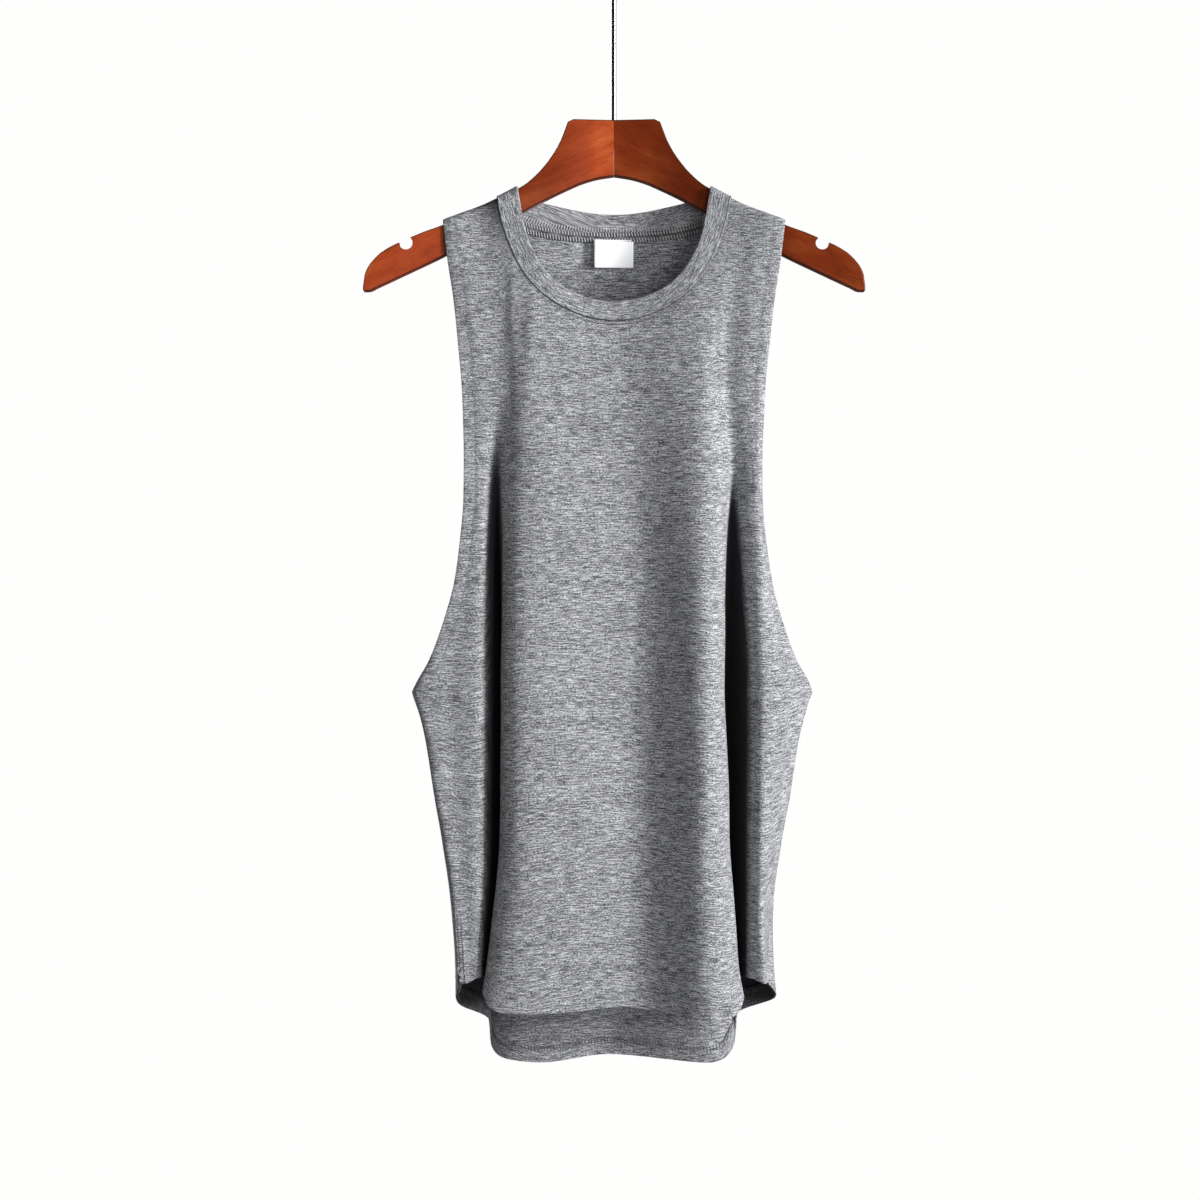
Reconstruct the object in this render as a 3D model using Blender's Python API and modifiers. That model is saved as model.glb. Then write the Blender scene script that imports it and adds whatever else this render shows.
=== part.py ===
"""A drop-armhole tank top in jersey, hung on a contoured wooden hanger with a long wire hook.

X points to the viewer's right, Y away from the viewer, Z up. The origin is the point inside the top of the
hook that rests on a rail. Sizes are in millimetres until the mesh is made; `drop` is the distance below the
origin. Each panel is a wall through plan sections: thirteen control lines run down the cloth, from edge to
edge, and the tables give where they lie at each height. The folds of the hanging cloth are in those lines.
"""

import math

import bmesh
import bpy
import numpy as np
from mathutils import Matrix

MM = 0.001

# ---- driving sizes ----
CLOTH = 1.4            # wall of the jersey panels
RIB = 2.4              # wall of the doubled rib neck band
LABEL_WALL = 1.0
GAP = 0.3              # between pieces that are sewn or laid together
SEAM_BACK = 0.35       # each panel's edge, back from the line of the side seam
NECK_HALF = 103.5      # neck seam from the centre, at the shoulder
SHOULDER_HALF = 151.0  # armhole edge from the centre, at the shoulder
SHOULDER_RISE = 3.2    # the straight shoulder seam stands off the falling arm at its outer end
RISE_FROM = 112.0
UNDERARM_DROP = 673.0  # the lowest point of the armhole
FAN_DROP = 415.0       # below this the columns of both panels follow the cloth's own lines
SEAM_TILT = 8.0        # the left side seam hangs this far forward of the table, the right one back
TILT_FROM = 300.0
LABEL_SIZE = (35.0, 25.0)
LABEL_DROP = 269.0

ARM_THICK = 12.0       # the hanger's wood, front to back
ARM_HALF = 220.6       # the hanger is 441 from tip to tip
ARM_SWEEP = (0.12, 0.00018)   # how the arms lean forward: a straight part and a curved part
BLOCK_HALF = 41.2      # flat top of the hanger's middle
WOOD_BEVEL = 2.6
NOTCH_RADIUS = 5.9
NOTCH_AT = (183.5, 277.0)
WIRE_RADIUS = 2.1
HOOK_RADIUS = 22.0     # to the middle of the wire
HOOK_BEND = math.radians(60)   # where the shaft's bend runs into the round of the hook
HOOK_END = math.radians(205)
BORE_DEPTH = 26.0


def table(columns, *lines):
    """Rows of numbers under named columns, as one array a column."""
    return dict(zip(columns.split(), np.array(lines, float).T))


# ---- the cloth's edges: half width and depth of the armhole, then of the side seam below it ----
FRONT_ARMHOLE = table(
    "drop x y",
    (236, 153.5, -29.5),
    (256, 151.0, -29.8),
    (293, 146.5, -30.5),
    (327, 141.3, -31.0),
    (362, 137.6, -31.0),
    (415, 133.3, -29.5),
    (468, 132.0, -27.0),
    (503, 132.5, -24.0),
    (538, 135.5, -22.0),
    (574, 140.3, -20.5),
    (609, 149.7, -19.0),
    (645, 163.0, -18.0),
    (662, 172.5, -17.4),
    (673, 177.4, -17.0),
)
BACK_ARMHOLE = table(
    "drop x y",
    (236, 153.0, -14.5),
    (256, 150.0, -14.5),
    (293, 143.0, -11.5),
    (362, 134.5, -5.0),
    (415, 130.0, -1.0),
    (468, 128.5, 3.0),
    (503, 129.0, 5.0),
    (538, 131.5, 5.5),
    (591, 141.0, 0.0),
    (627, 154.0, -7.0),
    (662, 172.0, -15.0),
    (673, 177.4, -17.0),
)
SIDE_SEAM = table(
    "drop x y",
    (673, 177.4, -17.0),
    (697, 169.4, -17.0),
    (733, 162.2, -17.0),
    (769, 156.6, -17.0),
    (804, 149.8, -17.5),
    (875, 139.9, -18.0),
    (1020, 132.0, -19.0),
)

# ---- the folds: a pleat on each side of the front and of the back. Going in from the edge a section crosses
# the wing, the pleat's outer lip, its root, the roll of the middle part, and the crest of the middle part.
FOLD_COLUMNS = "drop wing_x wing_y lip_x lip_y root_x root_y roll_x roll_y crest_x crest_y"
FRONT_LEFT = table(
    FOLD_COLUMNS,
    (236, 146, -29.8, 134, -27.5, 124, -25.8, 104, -22.5, 60, -20),
    (290, 141, -31.0, 130, -30.0, 120, -28.0, 103, -27.0, 66, -27),
    (360, 133, -31.5, 121, -31.5, 103, -29.0, 92, -31.0, 77, -35.5),
    (415, 128.5, -30.5, 117, -31.0, 102, -27.5, 93, -30.5, 79, -36.5),
    (485, 126.5, -29, 116, -29.0, 104, -21.5, 95.5, -30, 80, -39.5),
    (555, 129, -27.0, 116.5, -28.0, 104, -9.0, 98.5, -30, 81, -42),
    (610, 136, -27.5, 116.5, -27.5, 103, 2.0, 100.5, -30, 82, -43),
    (673, 150, -27.5, 115.5, -27.5, 103, 12.0, 102, -30.0, 82, -43.5),
    (735, 143, -28.0, 115.5, -28, 103, 15.0, 102.5, -30.0, 82, -44),
    (805, 136, -28.5, 115.8, -28, 103.5, 17.0, 103.5, -30.5, 82, -44.5),
    (875, 131, -29.0, 118.5, -28.5, 107, 17.0, 109, -31.0, 83, -45),
    (960, 128, -30.0, 120, -29.5, 112, 16.0, 113.5, -33.0, 84, -46),
)
FRONT_RIGHT = table(
    FOLD_COLUMNS,
    (236, 146, -29.8, 134, -27.5, 124, -25.8, 104, -22.5, 62, -20),
    (290, 141, -31.0, 127, -31.5, 110, -28.5, 97, -28.0, 69, -27),
    (360, 134, -31.5, 118, -32.5, 100, -29.5, 91.5, -32.5, 78, -36),
    (415, 129, -30.5, 116, -31.0, 101, -28.0, 93, -32.5, 79, -39),
    (485, 127, -28.0, 119, -26.5, 105, -19.0, 97, -31.5, 79, -42.5),
    (555, 130, -26.0, 119, -23.0, 105, -7.0, 98.5, -30, 80, -45.5),
    (610, 134, -26.0, 120.5, -21, 102.5, 2.0, 98.5, -29.5, 80, -47.5),
    (673, 140, -27.0, 122.5, -20.0, 101.5, 12.0, 98.8, -29.5, 81, -49),
    (735, 137, -28.0, 122.5, -20.5, 102.5, 15.0, 101.5, -30, 81, -50),
    (805, 134, -28.5, 122, -21, 104, 17.0, 103.7, -30.5, 81, -51),
    (875, 131.5, -29, 120.8, -22.0, 108, 17.0, 109, -31.5, 82, -52),
    (960, 129, -29, 120.5, -23, 113, 16.0, 114.3, -33.0, 84, -53),
)
FRONT_MIDDLE = table(
    "drop x y",
    (236, 0, -18),
    (290, 0, -21),
    (343, 0, -25),
    (415, 3, -26.5),
    (555, 9, -26.5),
    (673, 13, -25),
    (805, 14, -24.5),
    (960, 15, -25),
)
BACK_SIDES = table(
    FOLD_COLUMNS,
    (236, 146, -13.5, 134, -12.0, 124, -10.0, 104, -6.5, 60, 0.5),
    (290, 138, -10.0, 128, -7.0, 118, -5.0, 103, -1.0, 66, 4.0),
    (360, 129, -2.0, 120, 1.0, 110, 3.0, 97, 6.5, 70, 9.0),
    (415, 126, 3.0, 117, 6.0, 108, 8.0, 95, 12.0, 72, 12.5),
    (485, 124, 8.0, 116, 12.0, 107, 13.0, 95, 18.5, 73, 17.5),
    (555, 127, 12.0, 117, 18.0, 109, 17.0, 98, 25.0, 74, 23),
    (610, 136, 13.0, 118, 23.0, 110, 22.0, 100, 30.0, 74, 27),
    (673, 160, 4.0, 118, 26.0, 110, 27.0, 102, 35.0, 74, 31),
    (735, 154, 4.0, 117, 28.0, 110, 29.0, 103, 38.5, 75, 33),
    (805, 146, 4.0, 116, 30.0, 110, 31.0, 104, 41.0, 77, 34),
    (875, 141, 4.0, 114, 33.0, 109.5, 37, 104, 41.0, 80, 33),
    (1016, 138, 4.0, 112, 38.0, 108.5, 50.0, 103, 38, 84, 26),
)
BACK_MIDDLE = table(
    "drop x y",
    (236, 0, 4),
    (290, 0, 9),
    (360, 0, 16),
    (485, -1, 29),
    (610, -2, 42),
    (735, -3, 52),
    (875, -5, 55),
    (1016, -6, 49),
)

# ---- lower edges: `at` counts control lines across the panel, from 0 at the left edge to 12 ----
FRONT_HEM = table(
    "at drop",
    (0, 930), (1, 929), (2, 925), (3, 928), (4, 931), (4.3, 945), (5, 951.5), (6, 950),
    (7, 951.5), (7.7, 947), (8, 940), (9, 932), (10, 926), (11, 930), (12, 930),
)
BACK_HEM = table(
    "at drop",
    (0, 931), (1, 953), (2, 972), (3, 986), (4, 998), (4.4, 1008), (5, 1012), (6, 1009),
    (7, 1012), (7.6, 1008), (8, 998), (9, 986), (10, 972), (11, 953), (12, 931),
)

# ---- the neck: where the band is sewn on, and its free edge, from the shoulder to the middle ----
FRONT_NECK_SEAM = table(
    "x drop",
    (103.5, 236.5), (100.5, 252), (96.5, 266), (92, 278), (86.5, 290), (74.5, 309), (57, 325.5),
    (37, 336.5), (18, 342.3), (0, 344.4),
)
FRONT_NECK_TOP = table(
    "x drop",
    (85.5, 227.0), (81.5, 248), (76, 271.5), (65.5, 293.5), (51, 310.5), (37, 319.0),
    (20, 325.2), (0, 327.6),
)
BACK_NECK_SEAM = table(
    "x drop",
    (103.5, 236.5), (96, 245), (85, 251.5), (66, 257.5), (34, 261.5), (0, 262.5),
)
BACK_NECK_TOP = table(
    "x drop",
    (85.5, 227.0), (76, 232.7), (63, 236.8), (45, 240.8), (28.6, 244), (12, 246.1), (0, 246.6),
)

# ---- the hanger's outline, seen from the front ----
ARM_TOP = table(
    "x drop",
    (0, 166.7), (38.5, 166.7), (43.3, 171), (46.6, 179.5), (51.8, 190.3), (58.8, 201.6), (67.5, 212.1),
    (78.9, 222.4), (89.5, 228.8), (104, 236.6), (127, 248.3), (153, 261), (168, 266.8), (180, 272.3),
    (201.7, 283.5), (213, 294.2), (219, 305), (220.6, 316),
)
ARM_BOTTOM = table(
    "x drop",
    (0, 213.2), (14, 215.7), (27.5, 219.8), (40, 225.4), (62, 236.6), (105.5, 262), (149, 287),
    (181.2, 303.4), (208, 316.8), (215, 320.2), (220.6, 320.5),
)

SHOULDER_ROLL = ARM_THICK / 2 + CLOTH   # how far down the cloth is still turning over the arm
SLANT = 1.15     # length of a neck curve for each millimetre that it drops, close to the shoulder
LINES = 12       # control lines are numbered 0 to 12 across a panel
NECK_LINE = 4    # the control line that meets the shoulder end of the neck seam
MIDDLE_LINE = 6
TURN_SHARE = 4 / 9   # share of the columns from line 4 to line 5 that turns over the hanger's arm


def smooth(xs, ys, x):
    """A smooth curve through the points (xs, ys) that does not swing past them, read at x."""
    step = np.diff(xs)
    slope = np.diff(ys) / step
    turn = slope[:-1] * slope[1:]
    safe = np.where(turn > 0, slope[:-1] + slope[1:], 1.0)
    inner = np.where(turn > 0, 2 * turn / safe, 0.0)
    rate = np.concatenate(([slope[0]], inner, [slope[-1]]))
    x = np.clip(x, xs[0], xs[-1])
    i = np.clip(np.searchsorted(xs, x, side="right") - 1, 0, len(step) - 1)
    t = (x - xs[i]) / step[i]
    return (
        ys[i] * (1 + 2 * t) * (1 - t) ** 2
        + rate[i] * step[i] * t * (1 - t) ** 2
        + ys[i + 1] * t * t * (3 - 2 * t)
        - rate[i + 1] * step[i] * t * t * (1 - t)
    )


def read(rows, column, drop):
    return smooth(rows["drop"], rows[column], drop)


def ease(t):
    t = np.clip(t, 0, 1)
    return t * t * (3 - 2 * t)


class Panel:
    """One side of the body: its tables, and which way it lies from the hanger (-1 front, +1 back)."""

    def __init__(self, way, armhole, left, right, middle, hem, neck_seam, columns, rows):
        self.way, self.armhole = way, armhole
        self.left, self.right, self.middle = left, right, middle
        self.hem, self.neck_seam = hem, neck_seam
        self.columns, self.rows = columns, rows
        self.other = None

    def edge(self, drop):
        """Half width and depth of the panel's edge: the armhole, then the side seam."""
        low = drop > UNDERARM_DROP
        return [
            np.where(low, read(SIDE_SEAM, c, drop), read(self.armhole, c, drop)) for c in "xy"
        ]

    def controls(self, drop):
        """The thirteen control points of the plan section at each height, shape (n, 13, 2)."""
        x, y = self.edge(drop)
        tilt = SEAM_TILT * ease((drop - TILT_FROM) / (UNDERARM_DROP - TILT_FROM))
        points = [(-x, y - tilt)]
        for name in ("wing", "lip", "root", "roll", "crest"):
            points.append([s * read(self.left, f"{name}_{c}", drop) for c, s in (("x", -1), ("y", 1))])
        points.append([read(self.middle, c, drop) for c in "xy"])
        for name in ("crest", "roll", "root", "lip", "wing"):
            points.append([read(self.right, f"{name}_{c}", drop) for c in "xy"])
        points.append((x, y + tilt))
        return np.stack([np.stack(p, axis=-1) for p in points], axis=1)

    def plan(self, drop, at):
        """Where the cloth lies in plan, (x, y), at each height and each place across (0 to 12)."""
        drop, at = np.broadcast_arrays(np.asarray(drop, float), np.asarray(at, float))
        own, far = self.controls(drop), self.other.controls(drop)
        # Below the armhole a section runs on round the side seam into the other panel.
        joined = ease((drop - UNDERARM_DROP) / 50 + 1)[:, None]
        before = (2 * own[:, 0] - own[:, 1]) * (1 - joined) + far[:, 1] * joined
        after = (2 * own[:, -1] - own[:, -2]) * (1 - joined) + far[:, -2] * joined
        points = np.concatenate((before[:, None], own, after[:, None]), axis=1)
        knots = np.sqrt(np.linalg.norm(np.diff(points, axis=1), axis=2)) + 1e-6
        segment = np.clip(at.astype(int), 0, LINES - 1)
        t = (at - segment)[:, None]
        n = np.arange(len(drop))
        a, b, c, d = (points[n, segment + k] for k in range(4))
        h0, h1, h2 = (knots[n, segment + k][:, None] for k in range(3))
        start = h1 * ((b - a) / h0 - (c - a) / (h0 + h1) + (c - b) / h1)
        end = h1 * ((c - b) / h1 - (d - b) / (h1 + h2) + (d - c) / h2)
        return (
            b * (1 + 2 * t) * (1 - t) ** 2
            + start * t * (1 - t) ** 2
            + c * t * t * (3 - 2 * t)
            - end * t * t * (1 - t)
        )

    def place(self, x, drop, lift=0.0):
        """The point of the cloth at a given x and height above the pleats, folded over the hanger's arm."""
        x, drop = np.broadcast_arrays(np.asarray(x, float), np.asarray(drop, float))
        low, high = np.zeros(len(x)), np.full(len(x), float(LINES))
        for _ in range(24):
            half = (low + high) / 2
            left_of = self.plan(drop, half)[:, 0] < x
            low, high = np.where(left_of, half, low), np.where(left_of, high, half)
        depth = self.plan(drop, half)[:, 1]
        middle = arm_depth(x) + self.way * GAP
        down = np.clip((drop - shoulder_drop(x, lift)) / SHOULDER_ROLL, 0, 1)
        depth = middle + (depth - middle) * (1 - (1 - down) ** 3) ** (1 / 3)
        return np.stack((x, depth, -drop), axis=-1)


def arm_depth(x):
    """Depth of the hanger's middle plane: the arms lean forward from the middle to the tips."""
    straight, curved = ARM_SWEEP
    return -(straight * np.abs(x) + curved * x * x)


def shoulder_drop(x, lift=0.0):
    """Height of the cloth where it crosses over the hanger's arm."""
    wood = smooth(ARM_TOP["x"], ARM_TOP["drop"], np.abs(x))
    stands_off = SHOULDER_RISE * ease((np.abs(x) - RISE_FROM) / (SHOULDER_HALF - RISE_FROM))
    return wood - CLOTH / 2 - 2 * GAP - stands_off - lift


def neck_point(rows, at, lift=0.0):
    """A point (x, drop) on a neck curve, for a place across between the neck line and the middle line."""
    knots = np.arange(len(rows["x"]))
    drops = rows["drop"].copy()
    drops[0] = shoulder_drop(rows["x"][0], lift)
    fine = np.linspace(0, knots[-1], 300)
    x, drop = smooth(knots, rows["x"], fine), smooth(knots, drops, fine)
    length = np.concatenate(([0], np.cumsum(np.hypot(np.diff(x), np.diff(drop)))))
    past = np.clip(at - NECK_LINE, 0, MIDDLE_LINE - NECK_LINE)
    turned = SLANT * SHOULDER_ROLL
    over = turned * (1 - np.cos(np.clip(past / TURN_SHARE, 0, 1) * math.pi / 2))
    half = length[-1] / 2
    rest = turned + (half - turned) * np.clip((past - TURN_SHARE) / (1 - TURN_SHARE), 0, 1)
    walked = np.where(past <= TURN_SHARE, over, rest) + half * np.clip(past - 1, 0, 1)
    return np.interp(walked, length, x), np.interp(walked, length, drop)


def places_across(panel):
    """The columns of a panel's grid, each a place across from 0 to 12, with a narrow one at each edge."""
    at = [np.linspace(k, k + 1, n, endpoint=False) for k, n in enumerate(panel.columns)]
    narrow = 0.12
    inner = np.concatenate(at)[1:]
    return np.concatenate(([0, narrow], inner, [LINES - narrow, LINES]))


def panel_points(panel):
    """Rows of points from the shoulder and neck down to the hem, one column for each place across."""
    at = places_across(panel)
    side = np.where(at > MIDDLE_LINE, 1, -1)
    inward = np.where(at > MIDDLE_LINE, LINES - at, at)

    # The top edge: along the shoulder as far as the neck line, then along the neck seam.
    seam_x, seam_drop = neck_point(panel.neck_seam, inward)
    strap_x = SHOULDER_HALF + (NECK_HALF - SHOULDER_HALF) * np.clip(inward / NECK_LINE, 0, 1)
    top_x = side * np.where(inward > NECK_LINE, seam_x, strap_x)
    top_drop = np.where(inward > NECK_LINE, seam_drop, shoulder_drop(strap_x))
    fan_x = panel.plan(np.full(len(at), FAN_DROP), at)[:, 0]

    fan_rows, mid_rows, low_rows = panel.rows
    turns = 4
    roll = SHOULDER_ROLL * (1 - np.cos(np.linspace(0, math.pi / 2, turns + 1)))
    grid = []
    for k in range(fan_rows):
        if k <= turns:
            drop = top_drop + roll[k]
        else:
            start = top_drop + roll[-1]
            drop = start + (FAN_DROP - start) * (k - turns) / (fan_rows - turns)
        down = (drop - top_drop) / (FAN_DROP - top_drop)
        x = top_x + (fan_x - top_x) * down
        off = panel.edge(drop[:1])[0][0] + x[0]
        if k:
            x = x + side * off * (1 - inward / MIDDLE_LINE)
        grid.append(panel.place(x, drop))
    for k in range(mid_rows):
        drop = np.full(len(at), FAN_DROP + (UNDERARM_DROP - FAN_DROP) * k / mid_rows)
        grid.append(np.column_stack((panel.plan(drop, at), -drop)))
    hem = smooth(panel.hem["at"], panel.hem["drop"], at)
    for k in range(low_rows + 1):
        drop = UNDERARM_DROP + (hem - UNDERARM_DROP) * k / low_rows
        grid.append(np.column_stack((panel.plan(drop, at), -drop)))
    grid = np.array(grid)
    for edge, inner in ((0, 1), (-1, -2)):   # both panels stand back from the side seam
        along = grid[:, inner] - grid[:, edge]
        grid[:, edge] += SEAM_BACK * along / np.linalg.norm(along, axis=1)[:, None]
    return grid


# ---- making meshes ----
def cloth_material():
    return material("heather_jersey", (0.30, 0.305, 0.32, 1), 0.9, 0.0)


def material(name, colour, roughness, metallic):
    made = bpy.data.materials.get(name)
    if made is None:
        made = bpy.data.materials.new(name)
        made.use_nodes = True
        shader = made.node_tree.nodes["Principled BSDF"]
        shader.inputs["Base Color"].default_value = colour
        shader.inputs["Roughness"].default_value = roughness
        shader.inputs["Metallic"].default_value = metallic
    return made


def finish(name, bm, look, collection):
    """A mesh object from a bmesh, with its points already in their places."""
    mesh = bpy.data.meshes.new(name)
    bm.to_mesh(mesh)
    bm.free()
    mesh.shade_smooth()
    mesh.set_sharp_from_angle(angle=math.radians(40))
    made = bpy.data.objects.new(name, mesh)
    made.data.materials.append(look)
    collection.objects.link(made)
    return made


def lay_grid(points):
    """A grid whose vertices lie on rows of points, given in millimetres as (rows, columns, 3)."""
    across, down = points.shape[1] - 1, points.shape[0] - 1
    bm = bmesh.new()
    bmesh.ops.create_grid(bm, x_segments=across, y_segments=down, size=1)
    for vert in bm.verts:
        column = round((vert.co.x + 1) / 2 * across)
        row = round((1 - vert.co.y) / 2 * down)
        vert.co = points[row, column] * MM
    return bm


def sheet(name, points, wall, look, collection):
    """A cloth piece: an open surface given its wall by Solidify."""
    made = finish(name, lay_grid(points), look, collection)
    wall_modifier = made.modifiers.new("wall", "SOLIDIFY")
    wall_modifier.thickness = wall * MM
    wall_modifier.offset = 0
    wall_modifier.use_even_offset = False
    return made


def band_points(front, back, across):
    """The neck band: a closed ring between its seam and its free edge, over both shoulders."""
    lift = (RIB - CLOTH) / 2 + GAP
    inset = 2 * GAP / 17   # the seam's gap, as a share of the band's width
    w = np.linspace(inset, 1, across + 1)
    ring = []
    for panel, top_rows in ((front, FRONT_NECK_TOP), (back, BACK_NECK_TOP)):
        at = places_across(panel)
        at = at[(at >= NECK_LINE) & (at < LINES - NECK_LINE)]
        if panel is back:
            at = LINES - at   # the ring comes back round from right to left
        for place in at:
            side, inward = (1, LINES - place) if place > MIDDLE_LINE else (-1, place)
            seam_x, seam_drop = neck_point(panel.neck_seam, inward, lift)
            top_x, top_drop = neck_point(top_rows, inward, lift)
            x = seam_x + (top_x - seam_x) * w
            drop = seam_drop + (top_drop - seam_drop) * w
            # Close to the shoulder the band lies along the curved top of the arm.
            near = 1 - ease((inward - NECK_LINE) / TURN_SHARE)
            end_x = np.array([panel.neck_seam["x"][0], top_rows["x"][0]])
            ends = shoulder_drop(end_x, lift)
            across_x = end_x[0] + (end_x[1] - end_x[0]) * w
            bow = shoulder_drop(across_x, lift) - (ends[0] + (ends[1] - ends[0]) * w)
            ring.append(panel.place(side * x, drop + near * bow, lift))
    return np.array(ring)


def neck_band(front, back, collection):
    ring = band_points(front, back, 3)
    closed = np.concatenate((ring, ring[:1]))
    bm = lay_grid(closed)
    bmesh.ops.remove_doubles(bm, verts=bm.verts, dist=0.02 * MM)
    made = finish("neck_band", bm, cloth_material(), collection)
    wall_modifier = made.modifiers.new("wall", "SOLIDIFY")
    wall_modifier.thickness = RIB * MM
    wall_modifier.offset = 0
    return made


def label(back, collection):
    """The label lies on the inside of the back panel, hanging from the neck seam."""
    width, height = LABEL_SIZE
    off = CLOTH / 2 + GAP + LABEL_WALL / 2 + 0.1
    rows = []
    for down in np.linspace(0, height, 4):
        x = np.linspace(-width / 2, width / 2, 6)
        points = back.place(x, np.full(6, LABEL_DROP + down))
        points[:, 1] -= off
        rows.append(points)
    white = material("label_satin", (0.85, 0.86, 0.88, 1), 0.5, 0.0)
    return sheet("label", np.array(rows), LABEL_WALL, white, collection)


# ---- the hanger ----
def hanger_half(name, side, cutters, collection):
    """One mitred half of the hanger: its outline as a grid, drawn out front to back, with rounded edges."""
    xs = np.concatenate((
        np.linspace(GAP / 2, BLOCK_HALF, 4, endpoint=False),
        np.linspace(BLOCK_HALF, 120, 10, endpoint=False),
        np.linspace(120, 205, 6, endpoint=False),
        np.linspace(205, ARM_HALF, 5),
    ))
    top = smooth(ARM_TOP["x"], ARM_TOP["drop"], xs)
    bottom = smooth(ARM_BOTTOM["x"], ARM_BOTTOM["drop"], xs)
    front = arm_depth(xs) - ARM_THICK / 2
    points = np.array([np.column_stack((side * xs, front, -d)) for d in (top, bottom)])
    bm = lay_grid(points if side > 0 else points[:, ::-1])
    drawn = bmesh.ops.extrude_face_region(bm, geom=bm.faces[:])
    moved = [g for g in drawn["geom"] if isinstance(g, bmesh.types.BMVert)]
    bmesh.ops.translate(bm, verts=moved, vec=(0, ARM_THICK * MM, 0))
    bmesh.ops.recalc_face_normals(bm, faces=bm.faces)
    mitre = GAP * MM   # the face where the halves meet stays sharp
    rims = [
        edge for edge in bm.edges
        if edge.calc_face_angle(0) > math.radians(50) and max(abs(v.co.x) for v in edge.verts) > mitre
    ]
    bmesh.ops.bevel(bm, geom=rims, offset=WOOD_BEVEL * MM, segments=2, affect="EDGES", profile=0.5,
                    material=-1, clamp_overlap=True)
    wood = material("stained_wood", (0.35, 0.07, 0.03, 1), 0.3, 0.0)
    made = finish(name, bm, wood, collection)
    for cutter in cutters:
        cut = made.modifiers.new("cut", "BOOLEAN")
        cut.object = cutter
        cut.operation = "DIFFERENCE"
    return made


def cylinder_cutter(name, radius, length, place, axis, collection):
    bm = bmesh.new()
    bmesh.ops.create_cone(bm, cap_ends=True, segments=16, radius1=radius * MM, radius2=radius * MM,
                          depth=length * MM)
    if axis == "Y":
        bmesh.ops.rotate(bm, verts=bm.verts, matrix=Matrix.Rotation(math.pi / 2, 3, "X"))
    bmesh.ops.translate(bm, verts=bm.verts, vec=[c * MM for c in place])
    mesh = bpy.data.meshes.new(name)
    bm.to_mesh(mesh)
    bm.free()
    made = bpy.data.objects.new(name, mesh)
    made.hide_render = True
    made.display_type = "WIRE"
    collection.objects.link(made)
    return made


def hook_route():
    """The wire's middle line: up out of the wood, one bend to the side, and round over the rail."""
    centre = -(HOOK_RADIUS - WIRE_RADIUS)
    bend_radius = HOOK_RADIUS * math.cos(HOOK_BEND) / (1 - math.cos(HOOK_BEND))
    bend_height = centre - (HOOK_RADIUS + bend_radius) * math.sin(HOOK_BEND)
    foot = -(ARM_TOP["drop"][0] + BORE_DEPTH - 2 * GAP)
    route = [(0, z) for z in np.linspace(foot, bend_height, 8)]
    for angle in np.linspace(0, HOOK_BEND, 8)[1:]:
        route.append((bend_radius * (1 - math.cos(angle)), bend_height + bend_radius * math.sin(angle)))
    for angle in np.linspace(-HOOK_BEND, HOOK_END, 30)[1:]:
        route.append((HOOK_RADIUS * math.cos(angle), centre + HOOK_RADIUS * math.sin(angle)))
    return route


def hook(collection):
    route = hook_route()
    curve = bpy.data.curves.new("hook", "CURVE")
    curve.dimensions = "3D"
    curve.bevel_depth = WIRE_RADIUS * MM
    curve.bevel_resolution = 2
    curve.use_fill_caps = True
    line = curve.splines.new("POLY")
    line.points.add(len(route) - 1)
    for point, (x, z) in zip(line.points, route):
        point.co = (x * MM, 0, z * MM, 1)
    curve.materials.append(material("steel_wire", (0.55, 0.55, 0.56, 1), 0.25, 1.0))
    made = bpy.data.objects.new("hook", curve)
    collection.objects.link(made)
    return made


def main():
    for old in list(bpy.data.objects):
        bpy.data.objects.remove(old, do_unlink=True)
    garment = bpy.data.collections.new("tank_top_on_hanger")
    cutting = bpy.data.collections.new("cutters")
    for made in (garment, cutting):
        bpy.context.scene.collection.children.link(made)

    front = Panel(-1, FRONT_ARMHOLE, FRONT_LEFT, FRONT_RIGHT, FRONT_MIDDLE, FRONT_HEM, FRONT_NECK_SEAM,
                  columns=(2, 3, 4, 4, 9, 5, 5, 9, 4, 4, 3, 2), rows=(10, 6, 10))
    back = Panel(1, BACK_ARMHOLE, BACK_SIDES, BACK_SIDES, BACK_MIDDLE, BACK_HEM, BACK_NECK_SEAM,
                 columns=(2, 2, 3, 3, 9, 5, 5, 9, 3, 3, 2, 2), rows=(9, 5, 9))
    front.other, back.other = back, front
    sheet("front", panel_points(front), CLOTH, cloth_material(), garment)
    sheet("back", panel_points(back), CLOTH, cloth_material(), garment)
    neck_band(front, back, garment)
    label(back, garment)

    bore = cylinder_cutter("bore_cutter", WIRE_RADIUS + GAP, 2 * BORE_DEPTH, (0, 0, -ARM_TOP["drop"][0]),
                           "Z", cutting)
    for name, side in (("hanger_left", -1), ("hanger_right", 1)):
        x, drop = NOTCH_AT
        notch = cylinder_cutter(f"notch_cutter_{name}", NOTCH_RADIUS, 4 * ARM_THICK,
                                (side * x, float(arm_depth(x)), -drop), "Y", cutting)
        hanger_half(name, side, (notch, bore), garment)
    hook(garment)


main()
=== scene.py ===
# %% [markdown]
# # A tank top on its hanger
# The real object is a sleeveless training top: a front and a back panel of heather-grey jersey, sewn
# together at the shoulders and the sides, with a band round the neck and a hem that curves down longer
# behind. It hangs from a glossy red-brown wooden hanger with a long steel hook. This lesson dresses the
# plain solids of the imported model: every piece is made again as finer cloth, wood or wire in the same place.

import math

import bmesh
import bpy
import numpy as np
from mathutils import Matrix, Vector


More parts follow.
